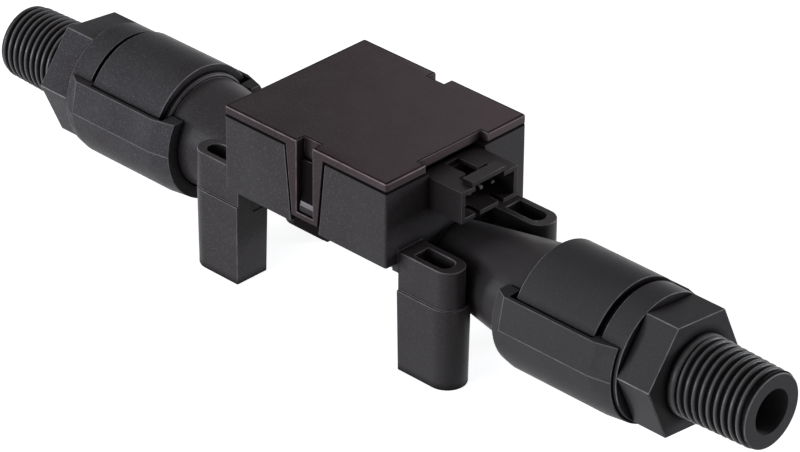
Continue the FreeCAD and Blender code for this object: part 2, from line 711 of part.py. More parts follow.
def make_connector_shell():
    body = new_body("connector_shell")
    half_shell = s.shell_width / 2
    flat = new_sketch(body, "block", "XY_Plane", board_top)
    add_box(flat, shell_back, shell_front, -half_shell, half_shell)
    pad(body, flat, s.shell_height)

    flat = new_sketch(body, "feet", "XY_Plane", board_top)
    foot_start = shell_back - s.shell_foot_length
    for side in (-1, 1):
        inner = (half_shell - s.shell_foot_width) * side
        outer = half_shell * side
        add_box(flat, foot_start, shell_back, inner, outer)
    pad(body, flat, s.shell_foot_height)

    cavity_back = shell_back + s.shell_back_wall
    half_cavity = half_shell - s.shell_wall
    flat = new_sketch(body, "cavity", "YZ_Plane", cavity_back)
    add_box(flat, -half_cavity, half_cavity, board_top + s.shell_wall, shell_top - s.shell_wall)
    pocket(body, flat, shell_front - cavity_back, reverse=True)

    # The roof is open for the latch of the plug, narrow at the back and wide at the mouth.
    mouth_start = shell_front - s.latch_mouth_depth
    flat = new_sketch(body, "latch_slot", "XY_Plane", shell_top)
    slot_start = shell_back + s.latch_slot_setback
    add_box(flat, slot_start, mouth_start, -s.latch_slot_width / 2, s.latch_slot_width / 2)
    pocket(body, flat, s.shell_wall)
    flat = new_sketch(body, "latch_mouth", "XY_Plane", shell_top)
    add_box(flat, mouth_start, shell_front, -s.latch_mouth_width / 2, s.latch_mouth_width / 2)
    pocket(body, flat, s.shell_wall)

    # A bridge spans the wide part, raised above the roof.
    flat = new_sketch(body, "bridge", "XY_Plane", shell_top)
    bridge_front = shell_front - s.bridge_setback
    half_bridge = s.latch_mouth_width / 2 + s.bridge_bearing
    add_box(flat, bridge_front - s.bridge_length, bridge_front, -half_bridge, half_bridge)
    pad(body, flat, s.bridge_rise)

    flat = new_sketch(body, "key_slots", "XY_Plane", board_top + s.shell_wall)
    for side in (-1, 1):
        middle = s.key_spacing / 2 * side
        add_box(flat, shell_front - s.key_depth, shell_front,
                middle - s.key_width / 2, middle + s.key_width / 2)
    pocket(body, flat, s.shell_wall)

    flat = new_sketch(body, "pin_holes", "YZ_Plane", shell_back)
    half_hole = (s.pin_size + s.fit_gap) / 2
    for place in PIN_PLACES:
        middle = s.pin_pitch * place
        add_box(flat, middle - half_hole, middle + half_hole, pin_level - half_hole, pin_level + half_hole)
    pocket(body, flat, s.shell_back_wall, reverse=True)


def make_connector_pin(name, place):
    """A square pin that comes up through the board and turns towards the mouth."""
    body = new_body(name, shift=s.pin_pitch * place)
    half_pin = s.pin_size / 2
    tail_back = pin_tail - half_pin
    tail_front = pin_tail + half_pin
    tail_end = board_bottom - s.pin_tail_length
    flat = new_sketch(body, "side_view", "XZ_Plane")
    add_outline(flat, [
        (tail_back, tail_end),
        (tail_front, tail_end),
        (tail_front, pin_level - half_pin),
        (pin_tip - s.pin_tip_bevel, pin_level - half_pin),
        (pin_tip, pin_level - half_pin + s.pin_tip_bevel),
        (pin_tip, pin_level + half_pin - s.pin_tip_bevel),
        (pin_tip - s.pin_tip_bevel, pin_level + half_pin),
        (tail_back, pin_level + half_pin),
    ])
    pad(body, flat, s.pin_size, both=True)


# The bypass: a gasket and a plate with the channel that leads past the sensing chip

def add_bypass_outline(flat):
    half_plate_x = s.deck_length / 2 - s.gasket_inset
    half_plate_y = s.deck_width / 2 - s.gasket_inset
    add_box(flat, -half_plate_x, half_plate_x, -half_plate_y, half_plate_y)
    for side in (-1, 1):
        add_circle(flat, s.port_spacing / 2 * side, NOTHING, s.port_radius)


def make_bypass():
    body = new_body("bypass_gasket")
    flat = new_sketch(body, "outline", "XY_Plane", s.deck_height)
    add_bypass_outline(flat)
    pad(body, flat, s.gasket_thickness)

    body = new_body("bypass_plate")
    flat = new_sketch(body, "outline", "XY_Plane", gasket_top)
    add_bypass_outline(flat)
    pad(body, flat, s.bypass_thickness)
    flat = new_sketch(body, "channel", "XY_Plane", board_bottom)
    half_channel = s.port_spacing / 2 + s.port_radius
    add_box(flat, -half_channel, half_channel, -s.port_radius, s.port_radius)
    pocket(body, flat, s.channel_depth)
    flat = new_sketch(body, "chip_pocket", "XY_Plane", board_bottom)
    half_pocket = s.chip_pocket / 2
    add_box(flat, -half_pocket, half_pocket, -half_pocket, half_pocket)
    pocket(body, flat, s.channel_depth)


def make_flow_divider():
    """A plug of straight holes that makes the small pressure drop across the bypass."""
    body = new_body("flow_divider")
    flat = new_sketch(body, "face", "YZ_Plane", -s.divider_length / 2)
    add_circle(flat, NOTHING, NOTHING, s.bore_radius - s.fit_gap)
    add_circle(flat, NOTHING, NOTHING, s.divider_hole)
    for step in range(DIVIDER_HOLES):
        angle = FULL_TURN * step / DIVIDER_HOLES
        add_circle(flat, s.divider_pitch * angle.cosine(), s.divider_pitch * angle.sine(),
                   s.divider_hole)
    pad(body, flat, s.divider_length)


# What is the same at both ends is made facing the outlet, and turned round for the inlet

def make_screen(name, yaw):
    body = new_body(name, yaw=yaw)
    flat = new_sketch(body, "disc", "YZ_Plane", spigot_end - s.screen_seat_depth)
    add_circle(flat, NOTHING, NOTHING, s.screen_radius)
    half_slot = s.screen_slot_width / 2
    half_height = s.screen_slot_length / 2
    for place in SCREEN_PLACES:
        middle = s.screen_pitch * place
        add_box(flat, middle - half_slot, middle + half_slot, -half_height, half_height)
    pad(body, flat, s.screen_thickness)


def make_screen_ring(name, yaw):
    body = new_body(name, yaw=yaw)
    flat = new_sketch(body, "ring", "YZ_Plane", spigot_end - s.screen_seat_depth + s.screen_thickness)
    add_circle(flat, NOTHING, NOTHING, s.screen_radius)
    add_circle(flat, NOTHING, NOTHING, s.spigot_bore)
    pad(body, flat, s.screen_seat_depth - s.screen_thickness)


def make_seal(name, yaw, setback):
    body = new_body(name, yaw=yaw)
    flat = new_sketch(body, "section", "XZ_Plane")
    middle = spigot_end - setback
    half_section = s.seal_section / 2
    add_box(flat, middle - half_section, middle + half_section,
            seal_floor + s.fit_gap / 2, socket_radius - s.fit_gap / 2)
    spin(body, "Revolution", flat)


def make_fitting(name, yaw, turn):
    """Barrel, clip groove, collar, hexagon and threaded end, moulded in one."""
    body = new_body(name, yaw=yaw)

    flat = new_sketch(body, "outside", "XZ_Plane")
    add_outline(flat, [
        (barrel_start, NOTHING),
        (barrel_start, s.barrel_radius - s.barrel_edge),
        (barrel_start + s.barrel_edge, s.barrel_radius),
        (barrel_end - s.barrel_edge, s.barrel_radius),
        (barrel_end, s.barrel_radius - s.barrel_edge),
        (barrel_end, s.groove_radius),
        (groove_end, s.groove_radius),
        (groove_end, s.collar_radius),
        (collar_end, s.collar_radius),
        (collar_end, s.thread_radius),
        (thread_end - s.thread_lead, s.thread_radius),
        (thread_end, s.thread_radius - s.thread_lead),
        (thread_end, NOTHING),
    ])
    spin(body, "Revolution", flat)

    flat = new_sketch(body, "hexagon", "YZ_Plane", collar_end)
    corner_radius = s.hex_across / 2 / (FULL_TURN / HEXAGON_SIDES / 2).cosine()
    corners = []
    for step in range(HEXAGON_SIDES):
        angle = turn + FULL_TURN * step / HEXAGON_SIDES
        corners.append((corner_radius * angle.cosine(), corner_radius * angle.sine()))
    add_outline(flat, corners)
    pad(body, flat, s.hex_length)

    # The socket takes the flange and the spigot, and the bore narrows towards the thread.
    seat_radius = s.flange_radius + s.snap_gap
    socket_end = spigot_end + s.fit_gap
    neck_end = thread_end - s.port_bore_length
    flat = new_sketch(body, "inside", "XZ_Plane")
    add_outline(flat, [
        (barrel_start - s.snap_gap, NOTHING),
        (barrel_start - s.snap_gap, seat_radius),
        (flange_back, seat_radius),
        (flange_back, socket_radius),
        (socket_end, socket_radius),
        (socket_end, s.neck_bore),
        (neck_end, s.neck_bore),
        (neck_end, s.port_bore),
        (thread_end - s.port_bevel, s.port_bore),
        (thread_end, s.port_bore + s.port_bevel),
        (thread_end + s.snap_gap, s.port_bore + s.port_bevel),
        (thread_end + s.snap_gap, NOTHING),
    ])
    spin(body, "Groove", flat)


def add_clip_section(flat, reach, side, bottom):
    """The clip across the flow: upright upper facets, and lower facets that meet the underside."""
    ratio = s.clip_bottom / s.clip_side
    rise = (ratio * ratio * -1 + 1).root()
    top = s.clip_arm_height + s.cut_over
    top_reach = reach - (side - reach) * s.cut_over / s.clip_arm_height
    add_outline(flat, [
        (-top_reach, top),
        (-side, NOTHING),
        (-(bottom * ratio), -(bottom * rise)),
        (bottom * ratio, -(bottom * rise)),
        (side, NOTHING),
        (top_reach, top),
    ])


def make_clip(name, yaw, inner_bevel, outer_bevel):
    """A clip, open at the top, that holds the flange and the groove of the fitting together."""
    body = new_body(name, yaw=yaw)
    inner_end = s.flange_face - s.snap_gap - s.clip_lip
    outer_end = groove_end + s.clip_overlap
    end_radius = s.collar_radius + s.snap_gap + s.clip_end_wall
    end_reach = (end_radius * end_radius - s.clip_arm_height * s.clip_arm_height).root()
    round_end = (end_reach, end_radius, end_radius)
    full_size = (s.clip_arm_reach, s.clip_side, s.clip_bottom)
    stations = (
        (inner_end, *round_end),
        (inner_end + inner_bevel, *full_size),
        (outer_end - outer_bevel, *full_size),
        (outer_end, *round_end),
    )
    sections = []
    for index, (place, reach, side, bottom) in enumerate(stations, start=1):
        flat = new_sketch(body, f"section_{index}", "YZ_Plane", place)
        add_clip_section(flat, reach, side, bottom)
        sections.append(flat)
    loft = body.newObject("PartDesign::AdditiveLoft", f"{name}_facets")
    loft.Profile = sections[0]
    loft.Sections = sections[1:]
    loft.Ruled = True

    flat = new_sketch(body, "underside", "XZ_Plane")
    outline = [(place, bottom) for place, reach, side, bottom in stations]
    add_outline(flat, [(inner_end, NOTHING)] + outline + [(outer_end, NOTHING)])
    spin(body, "Revolution", flat)

    lip_end = s.flange_face - s.snap_gap
    flat = new_sketch(body, "inside", "XZ_Plane")
    add_outline(flat, [
        (inner_end - s.snap_gap, NOTHING),
        (inner_end - s.snap_gap, s.cone_large_radius + s.snap_gap),
        (lip_end, s.cone_large_radius + s.snap_gap),
        (lip_end, s.barrel_radius + s.snap_gap),
        (barrel_end + s.snap_gap, s.barrel_radius + s.snap_gap),
        (barrel_end + s.snap_gap, s.groove_radius + s.snap_gap),
        (groove_end - s.snap_gap, s.groove_radius + s.snap_gap),
        (groove_end - s.snap_gap, s.collar_radius + s.snap_gap),
        (outer_end + s.snap_gap, s.collar_radius + s.snap_gap),
        (outer_end + s.snap_gap, NOTHING),
    ])
    spin(body, "Groove", flat)

    # The arms have flat insides that stand off the barrel towards their ends.
    flat = new_sketch(body, "arm_insides", "YZ_Plane", lip_end)
    inside_foot = s.clip_side - s.clip_arm_wall
    inside_end = s.clip_arm_reach - s.clip_arm_wall
    add_outline(flat, [
        (-inside_foot, NOTHING),
        (inside_foot, NOTHING),
        (inside_end, s.clip_arm_height),
        (-inside_end, s.clip_arm_height),
    ])
    pocket(body, flat, barrel_end + s.snap_gap - lip_end, reverse=True)

    flat = new_sketch(body, "opening", "XZ_Plane")
    above = s.clip_side + s.cut_over
    add_box(flat, inner_end - s.snap_gap, outer_end + s.snap_gap, s.clip_arm_height, above)
    pocket(body, flat, above * 2, both=True)


def make_all():
    make_flow_body()
    make_lid()
    make_electronics()
    make_connector_shell()
    for place, word in zip(PIN_PLACES, ("first", "second", "third")):
        make_connector_pin(f"{word}_connector_pin", place)
    make_bypass()
    make_flow_divider()
    for word, yaw, turn in (("inlet", 180.0, s.hex_turn), ("outlet", 0.0, -s.hex_turn)):
        make_screen(f"{word}_screen", yaw)
        make_screen_ring(f"{word}_screen_ring", yaw)
        make_seal(f"{word}_front_seal_ring", yaw, s.front_seal)
        make_seal(f"{word}_rear_seal_ring", yaw, s.rear_seal)
        make_fitting(f"{word}_fitting", yaw, turn)

    # Both clips are pushed on the same way round, so their long bevels face the outlet.
    make_clip("inlet_clip", 180.0, s.clip_long_bevel, s.clip_short_bevel)
    make_clip("outlet_clip", 0.0, s.clip_short_bevel, s.clip_long_bevel)


def check_and_write():
    """Writes each sub-part after every object of the document has been found sound."""
    doc.recompute()
    faults = []
    for thing in doc.Objects:
        if "Invalid" in thing.State or "Error" in thing.State:
            faults.append(f"{thing.Name} is {thing.State}")
    bodies = [thing for thing in doc.Objects if thing.TypeId == "PartDesign::Body"]
    for body in bodies:
        if body.Shape.isNull() or not body.Shape.isValid():
            faults.append(f"{body.Label} has no sound shape")
    if faults:
        raise RuntimeError("; ".join(faults))
    os.makedirs("parts", exist_ok=True)
    for body in bodies:
        body.Shape.exportStep(f"parts/{body.Label}.step")
        solids = len(body.Shape.Solids)
        print(f"{body.Label}: {solids} solids, {body.Shape.Volume:.1f} cubic mm")


make_all()
check_and_write()
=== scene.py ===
from math import cos, pi, radians, sin

import bmesh
import bpy
from bpy.props import FloatProperty, FloatVectorProperty, IntProperty, PointerProperty
from mathutils import Matrix, Vector


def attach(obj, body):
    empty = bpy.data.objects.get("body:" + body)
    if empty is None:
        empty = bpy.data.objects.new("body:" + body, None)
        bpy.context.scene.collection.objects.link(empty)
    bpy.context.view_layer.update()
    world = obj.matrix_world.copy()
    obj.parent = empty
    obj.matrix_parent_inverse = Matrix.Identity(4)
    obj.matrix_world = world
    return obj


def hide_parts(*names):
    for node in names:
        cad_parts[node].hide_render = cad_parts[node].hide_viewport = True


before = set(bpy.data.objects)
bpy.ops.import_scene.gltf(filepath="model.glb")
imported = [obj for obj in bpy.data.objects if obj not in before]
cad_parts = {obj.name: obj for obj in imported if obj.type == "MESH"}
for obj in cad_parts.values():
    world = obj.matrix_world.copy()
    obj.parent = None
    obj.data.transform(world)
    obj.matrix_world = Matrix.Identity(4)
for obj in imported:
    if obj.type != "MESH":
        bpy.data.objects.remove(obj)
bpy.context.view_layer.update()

bl_info = {
    "name": "Airflow sensor",
    "version": (1, 0, 0),
    "blender": (4, 5, 0),
    "location": "View3D > Sidebar > Airflow sensor",
    "description": "Gives the airflow sensor its moulded edges, pipe threads and finishes",
    "category": "Object",
}

MM = 0.001
# The flow axis and the line between lid and housing, over the ground.
AXIS_HEIGHT = 14.8 * MM
SEAM_HEIGHT = 31.15 * MM
SEAM_REACH = 0.35 * MM
# Half the width of a latch tongue where it crosses that line.
TONGUE_HALF_WIDTH = 4.2 * MM
# Edges sharper than this are rounded, in so many facets.
SHARP_EDGE = radians(30)
CLIP_SHARP_EDGE = radians(24)
ROUND_SEGMENTS = 2
# Smooth shading stops at edges sharper than this.
CREASE = radians(50)
# Below this slope a rounded edge counts as the underside, and gets so much painted shade.
UNDERSIDE = -0.35
UNDERSIDE_SHADE = 0.6
NEARLY = 0.05 * MM
TURN_ROUND = Matrix.Rotation(pi, 4, "Z")
# What each face carries for its colour: how much it is painted pale as wear and highlight, and how
# much painted shade it gets in a gap.
WEAR_AND_HIGHLIGHT = "edge_wear"
DARK = "gap_shade"
# The black of the painted shade, and how far the shade painting looks for nearby walls.
PAINTED_SHADE_BLACK = (0.0035, 0.0020, 0.0024)
GAP_REACH = 1.5 * MM


# Settings

class AirflowEdges(bpy.types.PropertyGroup):
    """How far the moulded edges are rounded."""

    housing: FloatProperty(
        name="Housing edges", description="Rounding of the housing, feet and flow tube",
        default=0.14 * MM, min=0.0, subtype="DISTANCE", unit="LENGTH", precision=5)
    lid: FloatProperty(
        name="Lid edges", description="Rounding of the lid, its tongues and slots",
        default=0.14 * MM, min=0.0, subtype="DISTANCE", unit="LENGTH", precision=5)
    connector: FloatProperty(
        name="Connector edges", description="Rounding of the connector shell",
        default=0.06 * MM, min=0.0, subtype="DISTANCE", unit="LENGTH", precision=5)
    clip: FloatProperty(
        name="Clip edges", description="Rounding of the clips",
        default=0.10 * MM, min=0.0, subtype="DISTANCE", unit="LENGTH", precision=5)
    fitting: FloatProperty(
        name="Fitting edges", description="Rounding of the barrels, collars and hexagons",
        default=0.12 * MM, min=0.0, subtype="DISTANCE", unit="LENGTH", precision=5)


class AirflowThread(bpy.types.PropertyGroup):
    """The tapered pipe threads."""

    pitch: FloatProperty(
        name="Pitch", description="From one crest to the next",
        default=1.337 * MM, min=0.5 * MM, subtype="DISTANCE", unit="LENGTH", precision=6)
    depth: FloatProperty(
        name="Depth", description="From crest to root",
        default=0.72 * MM, min=0.1 * MM, subtype="DISTANCE", unit="LENGTH", precision=6)
    base_radius: FloatProperty(
        name="Base radius", description="Radius over the crests beside the hexagon",
        default=6.56 * MM, min=1.0 * MM, subtype="DISTANCE", unit="LENGTH", precision=6)
    end_radius: FloatProperty(
        name="End radius", description="Radius over the crests at the free end",
        default=6.13 * MM, min=1.0 * MM, subtype="DISTANCE", unit="LENGTH", precision=6)
    steps: IntProperty(
        name="Steps", description="Steps in one turn of the thread", default=72, min=12, max=256)


class AirflowFinish(bpy.types.PropertyGroup):
    """Colours of the moulded plastic."""

    housing: FloatVectorProperty(
        name="Housing", description="Moulded plastic of the housing and feet",
        default=(0.0400, 0.0350, 0.0362), size=3, min=0.0, max=1.0, subtype="COLOR")
    lid: FloatVectorProperty(
        name="Lid", description="Moulded plastic of the lid",
        default=(0.0390, 0.0290, 0.0305), size=3, min=0.0, max=1.0, subtype="COLOR")
    fitting: FloatVectorProperty(
        name="Fittings", description="Moulded plastic of the fittings and clips",
        default=(0.0600, 0.0560, 0.0580), size=3, min=0.0, max=1.0, subtype="COLOR")
    connector: FloatVectorProperty(
        name="Connector", description="Moulded plastic of the connector",
        default=(0.0300, 0.0250, 0.0258), size=3, min=0.0, max=1.0, subtype="COLOR")


class AirflowStage(bpy.types.PropertyGroup):
    """Camera, lamps and floor."""

    eye: FloatVectorProperty(
        name="Camera place", description="Where the camera stands",
        default=(0.409499, -0.420148, 0.358557), size=3, subtype="TRANSLATION", unit="LENGTH")
    yaw: FloatProperty(
        name="Camera yaw", description="Turn of the camera round the object",
        default=radians(43.8849), subtype="ANGLE")
    pitch: FloatProperty(
        name="Camera pitch", description="How far the camera looks down",
        default=radians(30.5295), subtype="ANGLE")
    roll: FloatProperty(
        name="Camera roll", description="How far the camera leans",
        default=radians(0.5379), subtype="ANGLE")
    lens: FloatProperty(
        name="Lens", description="Focal length on a 36 mm sensor",
        default=201.116, min=20.0, max=600.0, unit="CAMERA")
    key: FloatProperty(
        name="Key lamp", description="Power of the large soft lamp at the front left",
        default=4.9, min=0.0)
    sheen: FloatProperty(
        name="Sheen lamp",
        description="Power of the lamp that draws the highlights on the round parts",
        default=4.8, min=0.0)
    top: FloatProperty(
        name="Top lamp", description="Power of the soft lamp overhead", default=0.5, min=0.0)
    rim: FloatProperty(
        name="Rim lamp", description="Power of the lamp over the outlet's far side",
        default=0.25, min=0.0)
    back: FloatProperty(
        name="Back lamp", description="Power of the low lamp at the far right",
        default=8.0, min=0.0)
    surroundings: FloatProperty(
        name="Surroundings", description="Light that comes from all round", default=0.10, min=0.0)
    floor_glow: FloatProperty(
        name="Floor glow",
        description="White that the floor shows to the camera, without lighting the part",
        default=0.85, min=0.0, max=1.0)


# Mesh helpers

def finish_piece(name, bm, stands_for, finish, slot, *more_finishes):
    """Turns a finished mesh into a piece that rides with the part and stands for CAD nodes."""
    mesh = bpy.data.meshes.new(name)
    bm.to_mesh(mesh)
    bm.free()
    mesh.shade_smooth()
    mesh.set_sharp_from_angle(angle=CREASE)
    piece = bpy.data.objects.new(name, mesh)
    bpy.context.scene.collection.objects.link(piece)
    for material in (finish, *more_finishes):
        mesh.materials.append(material)
    normals = piece.modifiers.new("even_normals", "WEIGHTED_NORMAL")
    normals.weight = 100
    normals.keep_sharp = True
    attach(piece, "root")
    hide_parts(*stands_for)
    return piece


def mark_layers(bm):
    """The two shares kept for each face: how much it is painted pale as wear and highlight, and how
    much painted shade it gets.
    """
    for name in (WEAR_AND_HIGHLIGHT, DARK):
        if bm.faces.layers.float.get(name) is None:
            bm.faces.layers.float.new(name)
    return bm.faces.layers.float[WEAR_AND_HIGHLIGHT], bm.faces.layers.float[DARK]


def mark(face, layers, wear_and_highlight=0.0, dark=0.0):
    """Sets both shares of one face."""
    face[layers[0]] = wear_and_highlight
    face[layers[1]] = dark


def soften_edges(bm, radius, sharper_than=SHARP_EDGE, chosen=None):
    """Rounds the sharp edges and marks the upper ones to be painted pale as wear and highlight, the
    underside ones with painted shade.
    """
    edges = []
    for edge in bm.edges:
        if len(edge.link_faces) != 2 or edge.calc_face_angle(0.0) < sharper_than:
            continue
        if chosen is None or chosen(edge):
            edges.append(edge)
    if not edges:
        raise RuntimeError("no edge is sharp enough to round")
    layers = mark_layers(bm)
    rounded = bmesh.ops.bevel(
        bm, geom=edges, offset=radius, offset_type="OFFSET", segments=ROUND_SEGMENTS,
        profile=0.5, affect="EDGES", clamp_overlap=False, material=-1)
    bm.normal_update()
    for face in rounded["faces"]:
        # Upper rounded edges are painted pale as wear and highlight; underside ones get painted
        # shade.
        if face.normal.z > UNDERSIDE:
            mark(face, layers, wear_and_highlight=1.0)
        else:
            mark(face, layers, dark=UNDERSIDE_SHADE)


def merged_copy(node):
    """The mesh of a CAD node with its triangles joined up, its flat faces whole again."""
    bm = bmesh.new()
    bm.from_mesh(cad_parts[node].data)
    bmesh.ops.remove_doubles(bm, verts=bm.verts, dist=0.002 * MM)
    bmesh.ops.dissolve_limit(
        bm, angle_limit=radians(0.8), use_dissolve_boundaries=False,
        verts=bm.verts, edges=bm.edges)
    return bm


def turned(profile, steps=128):
    """A closed body of revolution round the X axis, from (place, radius) pairs."""
    bm = bmesh.new()
    ring = [bm.verts.new((place, 0.0, radius)) for place, radius in profile]
    edges = [bm.edges.new((ring[i], ring[(i + 1) % len(ring)])) for i in range(len(ring))]
    bmesh.ops.spin(
        bm, geom=ring + edges, cent=(0, 0, 0), axis=(1, 0, 0), angle=2 * pi, steps=steps,
        use_merge=True, use_normal_flip=False, use_duplicate=False)
    bmesh.ops.remove_doubles(bm, verts=bm.verts, dist=0.0005 * MM)
    bmesh.ops.recalc_face_normals(bm, faces=bm.faces)
    return bm


def joined(parts):
    """One mesh that holds several closed shells."""
    whole = bmesh.new()
    for part in parts:
        mesh = bpy.data.meshes.new("shell")
        part.to_mesh(mesh)
        part.free()
        whole.from_mesh(mesh)
        bpy.data.meshes.remove(mesh)
    return whole


# Finishes

class Nodes:
    """A short way to write a material's nodes and links."""

    def __init__(self, name):
        self.material = bpy.data.materials.new(name)
        self.material.use_nodes = True
        self.tree = self.material.node_tree
        self.shader = self.tree.nodes["Principled BSDF"]
        self.place = self.add("ShaderNodeTexCoord").outputs["Object"]

    def add(self, kind, values=None, **settings):
        node = self.tree.nodes.new(kind)
        for key, value in settings.items():
            setattr(node, key, value)
        for key, value in (values or {}).items():
            if isinstance(value, bpy.types.NodeSocket):
                self.tree.links.new(value, node.inputs[key])
            else:
                node.inputs[key].default_value = value
        return node

    def link(self, **sockets):
        for target, socket in sockets.items():
            self.tree.links.new(socket, self.shader.inputs[target.replace("_", " ")])

    def constant(self, **values):
        for target, value in values.items():
            self.shader.inputs[target.replace("_", " ")].default_value = value

    def noise(self, size, detail=3.0, roughness=0.55, stretch=(1.0, 1.0, 1.0)):
        """Noise whose blotches are about as wide as the given size."""
        place = self.add(
            "ShaderNodeMapping", {"Vector": self.place, "Scale": stretch}).outputs["Vector"]
        return self.add("ShaderNodeTexNoise", {
            "Vector": place, "Scale": 1.0 / size, "Detail": detail,
            "Roughness": roughness}).outputs["Fac"]

    def cells(self, size, feature="F1"):
        return self.add("ShaderNodeTexVoronoi", {"Vector": self.place, "Scale": 1.0 / size},
                        feature=feature).outputs["Distance"]

    def ranged(self, socket, low, high, from_low=0.3, from_high=0.7):
        return self.add("ShaderNodeMapRange", {
            "Value": socket, "From Min": from_low, "From Max": from_high,
            "To Min": low, "To Max": high}).outputs["Result"]

    def sum(self, first, second, operation="ADD"):
        node = self.add("ShaderNodeMath", {0: first, 1: second}, operation=operation)
        return node.outputs["Value"]

    def mixed(self, factor, first, second):
        """A colour between two others."""
        node = self.add("ShaderNodeMix", data_type="RGBA")
        for index, value in ((0, factor), (6, first), (7, second)):
            if isinstance(value, bpy.types.NodeSocket):
                self.tree.links.new(value, node.inputs[index])
            else:
                node.inputs[index].default_value = value if index == 0 else (*value[:3], 1.0)
        return node.outputs[2]

    def bump(self, height, strength, distance):
        normal = self.add("ShaderNodeBump", {
            "Height": height, "Strength": strength, "Distance": distance}).outputs["Normal"]
        self.link(Normal=normal)


def shaded(colour, share):
    return tuple(min(channel * share, 1.0) for channel in colour)


def moulded_plastic(name, colour, roughness, grain, grain_size, shine, edge_paling=5.0, lit_side_paling=0.0,
                    seam_shade=False):
    """Black moulded plastic: spark-eroded grain, faint flow marks, scuffs, edges painted paler as
    wear and highlight, and painted shade in hollows and gaps.

    The first of the last three arguments is how many times paler a pale edge is painted, as wear
    and painted highlight; the next how much paler one corner is painted, as painted light; and the
    last turns on a painted line of shade where lid and housing meet.
    """
    n = Nodes(name)
    # The melt leaves slow changes of tone, a little warmer where it is darker.
    mottle = 0.14
    warm = (colour[0] * (1 - mottle), colour[1] * (1 - mottle * 1.5),
            colour[2] * (1 - mottle * 1.3))
    cool = (colour[0] * (1 + mottle), colour[1] * (1 + mottle * 1.3),
            colour[2] * (1 + mottle * 1.5))
    base = n.mixed(n.ranged(n.noise(9 * MM, 4.0, 0.6), 0.0, 1.0), warm, cool)
    # Fine pale specks in the skin of the moulding.
    specks = n.ranged(n.noise(grain_size * 1.6, 2.0, 0.6), 0.0, 0.7, 0.54, 0.70)
    base = n.mixed(specks, base, shaded(colour, 2.2))
    # Painted light: one corner is painted paler than the other, as if more light fell there.
    axes = n.add("ShaderNodeSeparateXYZ", {"Vector": n.place}).outputs
    lit_side = n.ranged(n.sum(axes["X"], axes["Y"]), 0.0, 0.7, -16 * MM, 26 * MM)
    base = n.mixed(lit_side, base, shaded(colour, 1.0 + lit_side_paling))
    # Painted shade: corners, hollows, gaps and the marked faces are painted deep black.
    open_sky = n.add("ShaderNodeAmbientOcclusion", {"Distance": GAP_REACH}, samples=6).outputs["AO"]
    gap = n.add("ShaderNodeAttribute", attribute_name=DARK).outputs["Fac"]
    painted_shade = n.sum(gap, n.ranged(open_sky, 1.0, 0.0, 0.52, 0.99), "MAXIMUM")
    if seam_shade:
        # Painted shade: a dark line along the seam between lid and housing, except across the
        # tongues.
        above = n.sum(n.sum(axes["Z"], SEAM_HEIGHT, "SUBTRACT"), 0.0, "ABSOLUTE")
        beside = n.sum(n.sum(axes["X"], 0.0, "ABSOLUTE"), TONGUE_HALF_WIDTH,
                       "GREATER_THAN")
        line = n.sum(n.ranged(above, 1.0, 0.0, 0.13 * MM, 0.24 * MM), beside, "MULTIPLY")
        painted_shade = n.sum(painted_shade, line, "MAXIMUM")
    # A share above one marks a face with a painted highlight, kept clear of the painted shade even
    # in a gap.
    edge = n.add("ShaderNodeAttribute", attribute_name=WEAR_AND_HIGHLIGHT).outputs["Fac"]
    lit_in_gap = n.ranged(edge, 0.0, 1.0, 1.0, 2.0)
    painted_shade = n.sum(painted_shade, lit_in_gap, "SUBTRACT")
    base = n.mixed(painted_shade, base, PAINTED_SHADE_BLACK)
    # The marked edges are painted pale where they are open: partly wear from handling, partly
    # painted highlight.
    edge_patches = n.ranged(n.noise(2.2 * MM, 4.0, 0.7), 0.5, 1.0, 0.35, 0.6)
    exposed = n.sum(n.ranged(open_sky, 0.0, 1.0, 0.78, 0.93), lit_in_gap, "MAXIMUM")
    wear_and_highlight = n.sum(n.sum(edge, edge_patches, "MULTIPLY"), exposed, "MULTIPLY")
    base = n.mixed(wear_and_highlight, base, shaded(colour, edge_paling))
    n.link(Base_Color=base)
    # The grain of the mould, in two sizes.
    height = n.sum(n.noise(grain_size, 2.0, 0.5), n.cells(grain_size * 1.7))
    n.bump(height, grain, 0.02 * MM)
    # The sheen changes with handling, is tighter on the pale edges and broad in the painted shade.
    scuffs = n.ranged(n.noise(2.4 * MM, 5.0, 0.7), roughness - 0.05, roughness + 0.06)
    tighter = n.sum(scuffs, n.sum(wear_and_highlight, 0.1, "MULTIPLY"), "SUBTRACT")
    n.link(Roughness=n.sum(tighter, n.sum(painted_shade, 0.95, "MULTIPLY"), "MAXIMUM"))
    n.constant(IOR=1.5, Specular_IOR_Level=shine)
    return n.material


def rubber():
    """Black nitrile rubber, matt with a trace of bloom."""
    n = Nodes("seal_rubber")
    n.link(Base_Color=n.mixed(n.ranged(n.noise(1.6 * MM, 4.0), 0.0, 1.0), (0.012, 0.012, 0.012),
                              (0.030, 0.029, 0.028)))
    n.link(Roughness=n.ranged(n.noise(0.7 * MM), 0.62, 0.82))
    n.bump(n.noise(0.12 * MM, 3.0), 0.2, 0.02 * MM)
    return n.material


def laminate():
    """Circuit board: green solder mask over the weave of the glass."""
    n = Nodes("board_laminate")
    across = n.add("ShaderNodeTexWave", {"Vector": n.place, "Scale": 0.35 / MM, "Distortion": 0.6},
                   bands_direction="X").outputs["Fac"]
    along = n.add("ShaderNodeTexWave", {"Vector": n.place, "Scale": 0.35 / MM, "Distortion": 0.6},
                  bands_direction="Y").outputs["Fac"]
    weave = n.sum(across, along, "MULTIPLY")
    mask = n.mixed(weave, (0.006, 0.060, 0.022), (0.010, 0.085, 0.034))
    blotch = n.ranged(n.noise(3.0 * MM, 3.0), 0.0, 0.5)
    n.link(Base_Color=n.mixed(blotch, mask, (0.012, 0.110, 0.048)))
    n.link(Roughness=n.ranged(n.noise(0.9 * MM), 0.24, 0.4))
    n.bump(weave, 0.15, 0.02 * MM)
    return n.material


